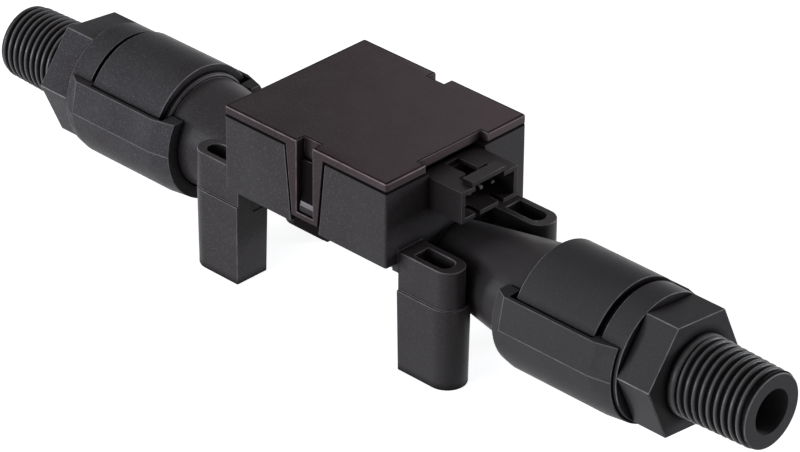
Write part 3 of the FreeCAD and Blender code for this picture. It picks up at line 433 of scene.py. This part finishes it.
def package_epoxy():
    """The black epoxy round a circuit, with a faint even grain."""
    n = Nodes("package_epoxy")
    n.link(Base_Color=n.mixed(n.ranged(n.noise(0.8 * MM), 0.0, 1.0), (0.016, 0.016, 0.017),
                              (0.030, 0.030, 0.031)))
    n.link(Roughness=n.ranged(n.noise(0.3 * MM), 0.5, 0.66))
    n.bump(n.noise(0.06 * MM), 0.3, 0.01 * MM)
    return n.material


def chip_ceramic():
    """Small soldered parts: tan ceramic, speckled and slightly glossy."""
    n = Nodes("chip_ceramic")
    n.link(Base_Color=n.mixed(n.ranged(n.noise(0.35 * MM, 4.0), 0.0, 1.0), (0.200, 0.130, 0.070),
                              (0.330, 0.230, 0.140)))
    n.link(Roughness=n.ranged(n.noise(0.2 * MM), 0.3, 0.5))
    n.bump(n.noise(0.08 * MM), 0.2, 0.01 * MM)
    return n.material


def silicon():
    """The bare flow sensing chip: dark, mirror bright, with its heater and thermopile traces."""
    n = Nodes("sensing_silicon")
    traces = n.add("ShaderNodeTexWave", {"Vector": n.place, "Scale": 1.4 / MM, "Distortion": 0.0},
                   bands_direction="X", wave_profile="SAW").outputs["Fac"]
    lines = n.ranged(traces, 0.0, 1.0, 0.80, 0.86)
    n.link(Base_Color=n.mixed(lines, (0.060, 0.075, 0.110), (0.350, 0.300, 0.200)))
    n.link(Roughness=n.ranged(n.noise(0.5 * MM), 0.1, 0.2))
    n.bump(traces, 0.1, 0.005 * MM)
    n.constant(Metallic=0.7)
    return n.material


def bright_metal(name, colour, roughness, size):
    """Plated or etched metal with fine brush marks along the flow axis and dull patches."""
    n = Nodes(name)
    dull = n.ranged(n.noise(size * 4, 4.0), 0.0, 1.0)
    n.link(Base_Color=n.mixed(dull, shaded(colour, 0.8), colour))
    brushed = n.noise(size, 3.0, 0.6, (0.2, 1.0, 1.0))
    n.link(Roughness=n.ranged(brushed, roughness - 0.08, roughness + 0.1))
    n.bump(brushed, 0.1, 0.01 * MM)
    n.constant(Metallic=1.0)
    return n.material


def pale_plastic():
    """Natural, unpigmented plastic of the inner flow parts, faintly cloudy."""
    n = Nodes("divider_plastic")
    n.link(Base_Color=n.mixed(n.ranged(n.noise(3.0 * MM, 4.0), 0.0, 1.0), (0.560, 0.540, 0.480),
                              (0.680, 0.665, 0.615)))
    n.link(Roughness=n.ranged(n.noise(0.8 * MM), 0.36, 0.5))
    n.bump(n.noise(0.1 * MM), 0.2, 0.01 * MM)
    n.constant(Subsurface_Weight=0.1, Subsurface_Scale=0.4 * MM)
    return n.material


def make_finishes():
    colours = bpy.context.scene.airflow_finish
    return {
        "housing": moulded_plastic(
            "housing_plastic", colours.housing, roughness=0.40, grain=0.35, grain_size=0.16 * MM,
            shine=0.1, seam_shade=True),
        "lid": moulded_plastic(
            "lid_plastic", colours.lid, roughness=0.50, grain=0.4, grain_size=0.18 * MM,
            shine=0.07, edge_paling=6.0, lit_side_paling=2.2, seam_shade=True),
        "fitting": moulded_plastic(
            "fitting_plastic", colours.fitting, roughness=0.31, grain=0.35,
            grain_size=0.16 * MM, shine=0.02),
        "thread": moulded_plastic(
            "thread_plastic", colours.fitting, roughness=0.30, grain=0.6, grain_size=0.2 * MM,
            shine=0.2, edge_paling=2.2),
        "clip": moulded_plastic(
            "clip_plastic", colours.fitting, roughness=0.38, grain=0.35, grain_size=0.16 * MM,
            shine=0.02, edge_paling=3.0),
        "connector": moulded_plastic(
            "connector_plastic", colours.connector, roughness=0.42, grain=0.25,
            grain_size=0.12 * MM, shine=0.08),
        "rubber": rubber(),
        "board": laminate(),
        "package": package_epoxy(),
        "chip": chip_ceramic(),
        "silicon": silicon(),
        # The pins' plating is painted near black, as painted shade under the connector's roof.
        "pin": bright_metal("pin_plating", (0.055, 0.053, 0.050), 0.36, 0.2 * MM),
        "screen": bright_metal("screen_steel", (0.50, 0.50, 0.51), 0.34, 0.1 * MM),
        "divider": pale_plastic(),
    }


FINISHES = {}


# Operators

# Where the block beside each leg lies under the housing, from the middle of the sensor.
LEG_ROOT_START = 15.9 * MM
LEG_ROOT_END = 17.2 * MM
LEG_ROOT_INNER = 4.9 * MM
LEG_ROOT_OUTER = 12.5 * MM
LEG_ROOT_BOTTOM = 16.8 * MM
LEG_ROOT_TOP = 18.5 * MM


def leg_root(along, across):
    """A short block beside a leg under the housing, which closes the gap between them."""
    low = Vector((LEG_ROOT_START, LEG_ROOT_INNER, LEG_ROOT_BOTTOM))
    high = Vector((LEG_ROOT_END, LEG_ROOT_OUTER, LEG_ROOT_TOP))
    middle = (low + high) / 2
    size = high - low
    bm = bmesh.new()
    bmesh.ops.create_cube(bm, size=1.0)
    bmesh.ops.scale(bm, vec=size, verts=bm.verts)
    bmesh.ops.translate(bm, vec=(middle.x * along, middle.y * across, middle.z), verts=bm.verts)
    return bm


# The floor of the tongue's recess, the catch that fills its window, and the recess's edges.
RECESS_FACE = 13.8 * MM
CATCH_FACE = 14.6 * MM
CATCH_EDGE = 21.65 * MM
CATCH_TOP = 23.75 * MM
CATCH_HALF_WIDTH = 1.8 * MM
CATCH_ROUNDING = 0.75 * MM
RECESS_HALF_WIDTH = 5 * MM
RECESS_EDGE_START = 2.4 * MM
NEAR_OUTSIDE = 14.7 * MM


def in_seam(face, middle):
    """Whether a face is one of the slopes beside the line between lid and housing."""
    return abs(middle.z - SEAM_HEIGHT) < SEAM_REACH and 0.15 < abs(face.normal.z) < 0.99


class AIRFLOW_OT_flow_body(bpy.types.Operator):
    """Round the edges of the flow body: tube, housing and feet."""

    bl_idname = "airflow.flow_body"
    bl_label = "Flow body"

    def execute(self, context):
        bm = merged_copy("flow_body")
        self.round_catches(bm)
        soften_edges(bm, context.scene.airflow_edges.housing)
        self.shade_gaps(bm)
        roots = [leg_root(along, across) for along in (-1, 1) for across in (-1, 1)]
        finish_piece("flow_body_moulding", joined([bm, *roots]), ["flow_body"], FINISHES["housing"],
                     "housing")
        return {"FINISHED"}

    def round_catches(self, bm):
        """Rounds the edge of each catch and marks it for a painted highlight in the window of the
        tongue.
        """
        edges = [
            edge for edge in bm.edges
            if all(abs(abs(vert.co.y) - CATCH_FACE) < NEARLY
                   and abs(vert.co.z - CATCH_EDGE) < NEARLY for vert in edge.verts)]
        if len(edges) < 2:
            raise RuntimeError("the catches have no edge to round")
        layers = mark_layers(bm)
        rounded = bmesh.ops.bevel(
            bm, geom=edges, offset=CATCH_ROUNDING, offset_type="OFFSET", segments=4, profile=0.5,
            affect="EDGES", clamp_overlap=True, material=-1)
        # The rounded catch edge is painted pale as a highlight, even amid the painted shade.
        for face in rounded["faces"]:
            mark(face, layers, wear_and_highlight=2.0)

    def shade_gaps(self, bm):
        """Marks painted shade on what lies in the line under the lid and behind the latch tongues.
        """
        layers = mark_layers(bm)
        # Seam slopes, recess floor, window above the catch, the catch's face below its edge and the
        # recess's side faces get painted shade.
        for face in bm.faces:
            middle = face.calc_center_median()
            out = abs(middle.y)
            in_window = abs(middle.x) < CATCH_HALF_WIDTH
            on_recess_floor = (abs(middle.x) < RECESS_HALF_WIDTH and abs(face.normal.y) > 0.9
                               and abs(out - RECESS_FACE) < NEARLY)
            if in_seam(face, middle) or on_recess_floor:
                mark(face, layers, dark=1.0)
            elif in_window and RECESS_FACE < out < CATCH_FACE and CATCH_EDGE < middle.z < CATCH_TOP:
                if not face[layers[0]]:
                    mark(face, layers, dark=1.0)
            elif in_window and abs(out - CATCH_FACE) < NEARLY and middle.z < CATCH_EDGE:
                mark(face, layers, dark=0.3)
            elif (RECESS_EDGE_START < middle.x < RECESS_HALF_WIDTH and out > NEAR_OUTSIDE
                  and face.normal.x < -0.75):
                mark(face, layers, dark=1.0)


# The rounded rim of the lid's top, the line of painted shade inside it, and the tongue's edge,
# which gets painted shade.
LID_RIM_HEIGHT = 0.32 * MM
LID_LINE = 0.2 * MM
TONGUE_EDGE_START = 2.2 * MM
TONGUE_EDGE_END = 4.6 * MM


class AIRFLOW_OT_lid(bpy.types.Operator):
    """Round the edges of the lid and its latch tongues."""

    bl_idname = "airflow.lid"
    bl_label = "Lid"

    def execute(self, context):
        bm = merged_copy("lid")
        soften_edges(bm, context.scene.airflow_edges.lid)
        top = max(vert.co.z for vert in bm.verts)
        layers = mark_layers(bm)
        plate = [face for face in bm.faces
                 if face.normal.z > 0.99 and face.calc_center_median().z > top - 0.01 * MM]
        # A thin band just inside the top's edge, which gets painted shade.
        rim = bmesh.ops.inset_region(bm, faces=plate, thickness=LID_LINE, depth=0.0)
        for vert in bm.verts:
            vert.co.z = min(vert.co.z, top)
        bm.normal_update()
        for face in rim["faces"]:
            mark(face, layers, dark=0.75)
        # On the top's rounded rim the steeper faces are painted pale as wear and highlight, the
        # flatter ones get painted shade; seam slopes and the tongue's edge get painted shade.
        for face in bm.faces:
            middle = face.calc_center_median()
            if 0.2 < face.normal.z < 0.97 and middle.z > top - LID_RIM_HEIGHT:
                if face.normal.z < 0.8:
                    mark(face, layers, wear_and_highlight=1.0)
                else:
                    mark(face, layers, dark=0.8)
            elif in_seam(face, middle):
                mark(face, layers, dark=1.0)
            elif (TONGUE_EDGE_START < middle.x < TONGUE_EDGE_END and middle.z < SEAM_HEIGHT
                  and face.normal.x > 0.2):
                mark(face, layers, dark=1.0)
        finish_piece("lid_moulding", bm, ["lid"], FINISHES["lid"], "lid")
        return {"FINISHED"}


class AIRFLOW_OT_connector(bpy.types.Operator):
    """Round the edges of the connector shell."""

    bl_idname = "airflow.connector"
    bl_label = "Connector"

    def execute(self, context):
        bm = merged_copy("connector_shell")
        soften_edges(bm, context.scene.airflow_edges.connector)
        finish_piece("connector_moulding", bm, ["connector_shell"], FINISHES["connector"],
                     "connector")
        return {"FINISHED"}


class AIRFLOW_OT_clips(bpy.types.Operator):
    """Round the edges of the two clips."""

    bl_idname = "airflow.clips"
    bl_label = "Clips"
    slope = 0.42 * MM

    def execute(self, context):
        radius = context.scene.airflow_edges.clip
        for end in ("inlet", "outlet"):
            bm = merged_copy(f"{end}_clip")
            self.slope_tops(bm)
            soften_edges(bm, radius, CLIP_SHARP_EDGE)
            finish_piece(f"{end}_clip_moulding", bm, [f"{end}_clip"], FINISHES["clip"], "clip")
        return {"FINISHED"}

    def slope_tops(self, bm):
        """Bevels the inner top edge of each arm, so that a narrow rim stands by the barrel."""
        top = max(vert.co.z for vert in bm.verts)
        inner = min(abs(vert.co.y) for vert in bm.verts if vert.co.z > top - 0.01 * MM)
        edges = [
            edge for edge in bm.edges
            if all(vert.co.z > top - 0.01 * MM and abs(vert.co.y) < inner + 0.1 * MM
                   for vert in edge.verts)]
        if not edges:
            raise RuntimeError("the clip has no inner top edge")
        bmesh.ops.bevel(
            bm, geom=edges, offset=self.slope, offset_type="OFFSET", segments=1, profile=0.5,
            affect="EDGES", clamp_overlap=True, material=-1)


class AIRFLOW_OT_inner_parts(bpy.types.Operator):
    """Give the parts inside the housing and the fittings their finishes."""

    bl_idname = "airflow.inner_parts"
    bl_label = "Inner parts"

    def execute(self, context):
        replaced = {"flow_body", "lid", "connector_shell", "inlet_clip", "outlet_clip",
                    "inlet_fitting", "outlet_fitting"}
        for node, finish in NODE_FINISHES.items():
            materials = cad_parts[node].data.materials
            materials.clear()
            materials.append(FINISHES[finish])
        left = set(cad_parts) - replaced - set(NODE_FINISHES)
        if left:
            raise RuntimeError(f"these nodes have no finish: {sorted(left)}")
        return {"FINISHED"}


NODE_FINISHES = {
    "circuit_board": "board",
    "amplifier_chip": "package",
    "regulator_chip": "package",
    "chip_capacitors": "chip",
    "chip_resistors": "chip",
    "flow_sensing_chip": "silicon",
    "first_connector_pin": "pin",
    "second_connector_pin": "pin",
    "third_connector_pin": "pin",
    "bypass_gasket": "rubber",
    "bypass_plate": "divider",
    "flow_divider": "divider",
    "inlet_screen": "screen",
    "outlet_screen": "screen",
    "inlet_screen_ring": "divider",
    "outlet_screen_ring": "divider",
    "inlet_front_seal_ring": "rubber",
    "inlet_rear_seal_ring": "rubber",
    "outlet_front_seal_ring": "rubber",
    "outlet_rear_seal_ring": "rubber",
}


# Where the fitting's steps lie along the flow axis, from the middle of the sensor.
BARREL_START = 37.9 * MM
FLANGE_SEAT = 38.8 * MM
SOCKET_END = 49.65 * MM
BARREL_END = 53.0 * MM
GROOVE_END = 54.0 * MM
COLLAR_END = 58.4 * MM
NECK_END = 61.8 * MM
HEXAGON_END = 64.5 * MM
THREAD_END = 78.8 * MM
THREAD_LAND = 0.3 * MM
# The radii of those steps, outside and then inside.
BARREL_RADIUS = 10.6 * MM
GROOVE_RADIUS = 9.5 * MM
COLLAR_RADIUS = 10.25 * MM
TIP_RADIUS = 5.9 * MM
FLANGE_RADIUS = 9.4 * MM
SOCKET_RADIUS = 8.0 * MM
BORE_RADIUS = 5.2 * MM
MOUTH_RADIUS = 3.6 * MM
# The shoulder before the thread: millimetres from the hexagon's face, and below the crests.
SHOULDER = ((-0.2, 0.16), (0.5, 0.02), (1.1, 0.02), (1.45, 0.3))
SHOULDER_FOOT = 1.6 * MM
HEXAGON_ACROSS_FLATS = 17.8 * MM
HEXAGON_TURN = radians(6.0)


def fitting_core(thread):
    """Everything of the fitting that is round: barrel, groove, collar, threaded core and bore."""
    root = thread.base_radius - thread.depth
    shoulder = [(HEXAGON_END + place * MM, thread.base_radius - drop * MM)
                for place, drop in SHOULDER]
    bm = turned([
        (BARREL_START, FLANGE_RADIUS),
        (BARREL_START, BARREL_RADIUS),
        (BARREL_END, BARREL_RADIUS),
        (BARREL_END, GROOVE_RADIUS),
        (GROOVE_END, GROOVE_RADIUS),
        (GROOVE_END, COLLAR_RADIUS),
        (COLLAR_END, COLLAR_RADIUS),
        (COLLAR_END, root),
        (shoulder[0][0], root),
        *shoulder,
        (HEXAGON_END + SHOULDER_FOOT, root - 0.02 * MM),
        (THREAD_END - THREAD_LAND, thread.end_radius - thread.depth),
        (THREAD_END - THREAD_LAND, TIP_RADIUS + NEARLY),
        (THREAD_END, TIP_RADIUS),
        (THREAD_END, MOUTH_RADIUS),
        (NECK_END, MOUTH_RADIUS),
        (NECK_END, BORE_RADIUS),
        (SOCKET_END, BORE_RADIUS),
        (SOCKET_END, SOCKET_RADIUS),
        (FLANGE_SEAT, SOCKET_RADIUS),
        (FLANGE_SEAT, FLANGE_RADIUS),
    ])
    rims = ((BARREL_START, BARREL_RADIUS), (BARREL_END, BARREL_RADIUS),
            (GROOVE_END, COLLAR_RADIUS), (COLLAR_END, COLLAR_RADIUS), (THREAD_END, TIP_RADIUS))

    def is_rim(edge):
        middle = (edge.verts[0].co + edge.verts[1].co) / 2
        radius = Vector((middle.y, middle.z)).length
        return any(abs(middle.x - place) < 0.01 * MM and abs(radius - size) < 0.02 * MM
                   for place, size in rims)

    soften_edges(bm, bpy.context.scene.airflow_edges.fitting, chosen=is_rim)
    # The shoulder next to the hexagon takes the thread's finish and is painted pale as wear and
    # highlight.
    layers = mark_layers(bm)
    for face in bm.faces:
        middle = face.calc_center_median()
        out = Vector((middle.y, middle.z)).length
        if 0.4 * MM < middle.x - HEXAGON_END < 1.3 * MM and out > root:
            face.material_index = 1
            mark(face, layers, wear_and_highlight=0.8)
    return bm


def fitting_hexagon(turn):
    """The hexagon between collar and thread, turned about the flow axis."""
    to_corner = HEXAGON_ACROSS_FLATS / 2 / cos(pi / 6)
    length = HEXAGON_END - COLLAR_END
    bm = bmesh.new()
    lie_down = Matrix.Rotation(pi / 2, 4, "Y")
    place = (Matrix.Translation((COLLAR_END + length / 2, 0, 0))
             @ Matrix.Rotation(turn, 4, "X") @ lie_down)
    bmesh.ops.create_cone(
        bm, cap_ends=True, segments=6, radius1=to_corner, radius2=to_corner,
        depth=length, matrix=place)
    soften_edges(bm, bpy.context.scene.airflow_edges.fitting)
    return bm


def pipe_thread(thread, start, end):
    """A tapered, right-handed ridge round the flow axis, cut off square at both ends."""
    pitch = thread.pitch
    crest = thread.base_radius
    root = crest - thread.depth
    flank = crest - thread.depth * 0.1
    shoulder_depth = 0.30 * MM
    foot = root - 0.1 * MM
    bm = bmesh.new()
    # The ridge's outline, as shares of the pitch and radii.
    section = [
        (0.11, foot), (0.15, root), (0.25, crest - shoulder_depth), (0.34, flank),
        (0.50, crest), (0.66, flank), (0.75, crest - shoulder_depth), (0.85, root),
        (0.89, foot),
    ]
    verts = [bm.verts.new((start - pitch + share * pitch, 0.0, radius))
             for share, radius in section]
    edges = [bm.edges.new((verts[i - 1], verts[i])) for i in range(len(verts))]
    turns = int((end - start) / pitch) + 2
    bmesh.ops.spin(
        bm, geom=verts + edges, cent=(0, 0, 0), axis=(1, 0, 0), dvec=(pitch / thread.steps, 0, 0),
        angle=2 * pi * turns, steps=turns * thread.steps,
        use_merge=False, use_normal_flip=False, use_duplicate=False)
    for place, outwards in ((start, -1), (end, 1)):
        bmesh.ops.bisect_plane(
            bm, geom=bm.verts[:] + bm.edges[:] + bm.faces[:], dist=1e-7, plane_co=(place, 0, 0),
            plane_no=(outwards, 0, 0), clear_outer=True)
    bmesh.ops.holes_fill(bm, edges=[edge for edge in bm.edges if edge.is_boundary], sides=0)
    bmesh.ops.recalc_face_normals(bm, faces=bm.faces)
    # Crest faces are painted pale as wear and highlight; root faces get painted shade.
    layers = mark_layers(bm)
    for face in bm.faces:
        face.material_index = 1
        radii = [Vector((vert.co.y, vert.co.z)).length for vert in face.verts]
        if min(radii) > flank - 0.01 * MM:
            mark(face, layers, wear_and_highlight=0.7)
        elif min(radii) < root + 0.05 * MM:
            mark(face, layers, dark=1.0)
    fall = (thread.base_radius - thread.end_radius) / (THREAD_END - HEXAGON_END)
    for vert in bm.verts:
        radius = Vector((vert.co.y, vert.co.z)).length
        share = (radius - max(vert.co.x - HEXAGON_END, 0.0) * fall) / radius
        vert.co.y *= share
        vert.co.z *= share
    return bm


class AIRFLOW_OT_fittings(bpy.types.Operator):
    """Build the two fittings: barrel, groove, collar, hexagon and tapered thread."""

    bl_idname = "airflow.fittings"
    bl_label = "Fittings"

    def execute(self, context):
        thread = context.scene.airflow_thread
        for end, side in (("outlet", -1), ("inlet", 1)):
            bm = joined([
                fitting_core(thread),
                fitting_hexagon(HEXAGON_TURN * side),
                pipe_thread(thread, HEXAGON_END + 1.2 * MM, THREAD_END - 0.55 * MM),
            ])
            if end == "inlet":
                bmesh.ops.transform(bm, matrix=TURN_ROUND, verts=bm.verts)
            bmesh.ops.translate(bm, vec=(0, 0, AXIS_HEIGHT), verts=bm.verts)
            finish_piece(f"{end}_fitting_moulding", bm, [f"{end}_fitting"], FINISHES["fitting"],
                         "fitting", FINISHES["thread"])
        return {"FINISHED"}


# Each lamp's place, width and colour, and the point that all of them face.
LAMPS = {
    "key": ((-0.12, -0.98, 0.22), 0.7, (0.86, 0.93, 1.0)),
    "sheen": ((-0.60, -0.78, 0.14), 0.25, (0.88, 0.96, 1.0)),
    "top": ((-0.25, 0.15, 0.90), 0.6, (1.0, 0.80, 0.82)),
    "rim": ((0.34, 0.44, 0.40), 0.20, (0.93, 0.98, 1.0)),
    "back": ((0.50, 0.82, 0.10), 0.4, (0.86, 0.93, 1.0)),
}
LAMP_TARGET = Vector((0.0, 0.0, 0.015))
FLOOR_RADIUS = 6.0


class AIRFLOW_OT_stage(bpy.types.Operator):
    """Set up the floor, the lamps and the camera."""

    bl_idname = "airflow.stage"
    bl_label = "Stage"

    def execute(self, context):
        stage = context.scene.airflow_stage
        scene = context.scene
        self.make_camera(scene, stage)
        self.make_floor(scene, stage)
        self.make_lamps(scene, stage)
        self.make_world(scene, stage)
        scene.view_settings.view_transform = "Standard"
        return {"FINISHED"}

    def make_camera(self, scene, stage):
        data = bpy.data.cameras.new("camera")
        data.sensor_width = 36.0
        data.lens = stage.lens
        data.clip_start = 0.01
        data.clip_end = 20.0
        camera = bpy.data.objects.new("camera", data)
        back = Vector((
            sin(stage.yaw) * cos(stage.pitch), -cos(stage.yaw) * cos(stage.pitch),
            sin(stage.pitch)))
        right = Vector((cos(stage.yaw), sin(stage.yaw), 0.0))
        up = back.cross(right)
        across = right * cos(stage.roll) + up * sin(stage.roll)
        over = up * cos(stage.roll) - right * sin(stage.roll)
        camera.matrix_world = Matrix.Translation(stage.eye) @ Matrix(
            (across, over, back)).transposed().to_4x4()
        scene.collection.objects.link(camera)
        scene.camera = camera

    def make_floor(self, scene, stage):
        bm = bmesh.new()
        bmesh.ops.create_circle(bm, cap_ends=True, segments=96, radius=FLOOR_RADIUS)
        mesh = bpy.data.meshes.new("floor")
        bm.to_mesh(mesh)
        bm.free()
        floor = bpy.data.objects.new("floor", mesh)
        scene.collection.objects.link(floor)
        n = Nodes("floor_white")
        n.constant(Base_Color=(0.86, 0.86, 0.86, 1.0), Roughness=0.9, Specular_IOR_Level=0.1)
        seen = self.seen_by_eye(n.tree)
        glow = n.add("ShaderNodeEmission", {"Color": (1.0, 1.0, 1.0, 1.0)})
        n.tree.links.new(n.sum(seen, stage.floor_glow, "MULTIPLY"), glow.inputs["Strength"])
        both = n.add("ShaderNodeAddShader", {0: n.shader.outputs[0], 1: glow.outputs[0]})
        n.tree.links.new(both.outputs[0], n.tree.nodes["Material Output"].inputs["Surface"])
        mesh.materials.append(n.material)

    def seen_by_eye(self, tree):
        """One where the camera looks, straight, by a shine or through glass, and else zero."""
        path = tree.nodes.new("ShaderNodeLightPath")
        seen = path.outputs["Is Camera Ray"]
        for ray in ("Is Glossy Ray", "Is Transmission Ray"):
            most = tree.nodes.new("ShaderNodeMath")
            most.operation = "MAXIMUM"
            tree.links.new(seen, most.inputs[0])
            tree.links.new(path.outputs[ray], most.inputs[1])
            seen = most.outputs["Value"]
        return seen

    def make_lamps(self, scene, stage):
        for word, (place, size, colour) in LAMPS.items():
            data = bpy.data.lights.new(f"{word}_lamp", "AREA")
            data.shape = "DISK"
            data.size = size
            data.energy = getattr(stage, word)
            data.color = colour
            lamp = bpy.data.objects.new(f"{word}_lamp", data)
            lamp.visible_camera = False
            lamp.location = place
            aim = (Vector(place) - LAMP_TARGET).to_track_quat("Z", "Y")
            lamp.rotation_euler = aim.to_euler()
            scene.collection.objects.link(lamp)

    def make_world(self, scene, stage):
        world = bpy.data.worlds.new("studio")
        world.use_nodes = True
        tree = world.node_tree
        background = tree.nodes["Background"]
        plain = tree.nodes.new("ShaderNodeBackground")
        background.inputs["Color"].default_value = (1.0, 1.0, 1.0, 1.0)
        background.inputs["Strength"].default_value = stage.surroundings
        plain.inputs["Color"].default_value = (1.0, 1.0, 1.0, 1.0)
        blend = tree.nodes.new("ShaderNodeMixShader")
        tree.links.new(self.seen_by_eye(tree), blend.inputs[0])
        tree.links.new(background.outputs[0], blend.inputs[1])
        tree.links.new(plain.outputs[0], blend.inputs[2])
        tree.links.new(blend.outputs[0], tree.nodes["World Output"].inputs["Surface"])
        scene.world = world


class AIRFLOW_PT_panel(bpy.types.Panel):
    """Buttons that build the airflow sensor's pieces."""

    bl_label = "Airflow sensor"
    bl_idname = "AIRFLOW_PT_panel"
    bl_space_type = "VIEW_3D"
    bl_region_type = "UI"
    bl_category = "Airflow sensor"

    def draw(self, context):
        layout = self.layout
        for operator in OPERATORS:
            layout.operator(operator.bl_idname)


GROUPS = (
    ("airflow_edges", AirflowEdges),
    ("airflow_thread", AirflowThread),
    ("airflow_finish", AirflowFinish),
    ("airflow_stage", AirflowStage),
)
OPERATORS = (
    AIRFLOW_OT_stage,
    AIRFLOW_OT_flow_body,
    AIRFLOW_OT_lid,
    AIRFLOW_OT_connector,
    AIRFLOW_OT_clips,
    AIRFLOW_OT_fittings,
    AIRFLOW_OT_inner_parts,
)


def register():
    for name, group in GROUPS:
        bpy.utils.register_class(group)
        setattr(bpy.types.Scene, name, PointerProperty(type=group))
    for operator in OPERATORS:
        bpy.utils.register_class(operator)
    bpy.utils.register_class(AIRFLOW_PT_panel)


def unregister():
    bpy.utils.unregister_class(AIRFLOW_PT_panel)
    for operator in reversed(OPERATORS):
        bpy.utils.unregister_class(operator)
    for name, group in reversed(GROUPS):
        delattr(bpy.types.Scene, name)
        bpy.utils.unregister_class(group)


def main():
    register()
    FINISHES.update(make_finishes())
    for operator in OPERATORS:
        group, call = operator.bl_idname.split(".")
        getattr(getattr(bpy.ops, group), call)()


if __name__ == "__main__":
    main()
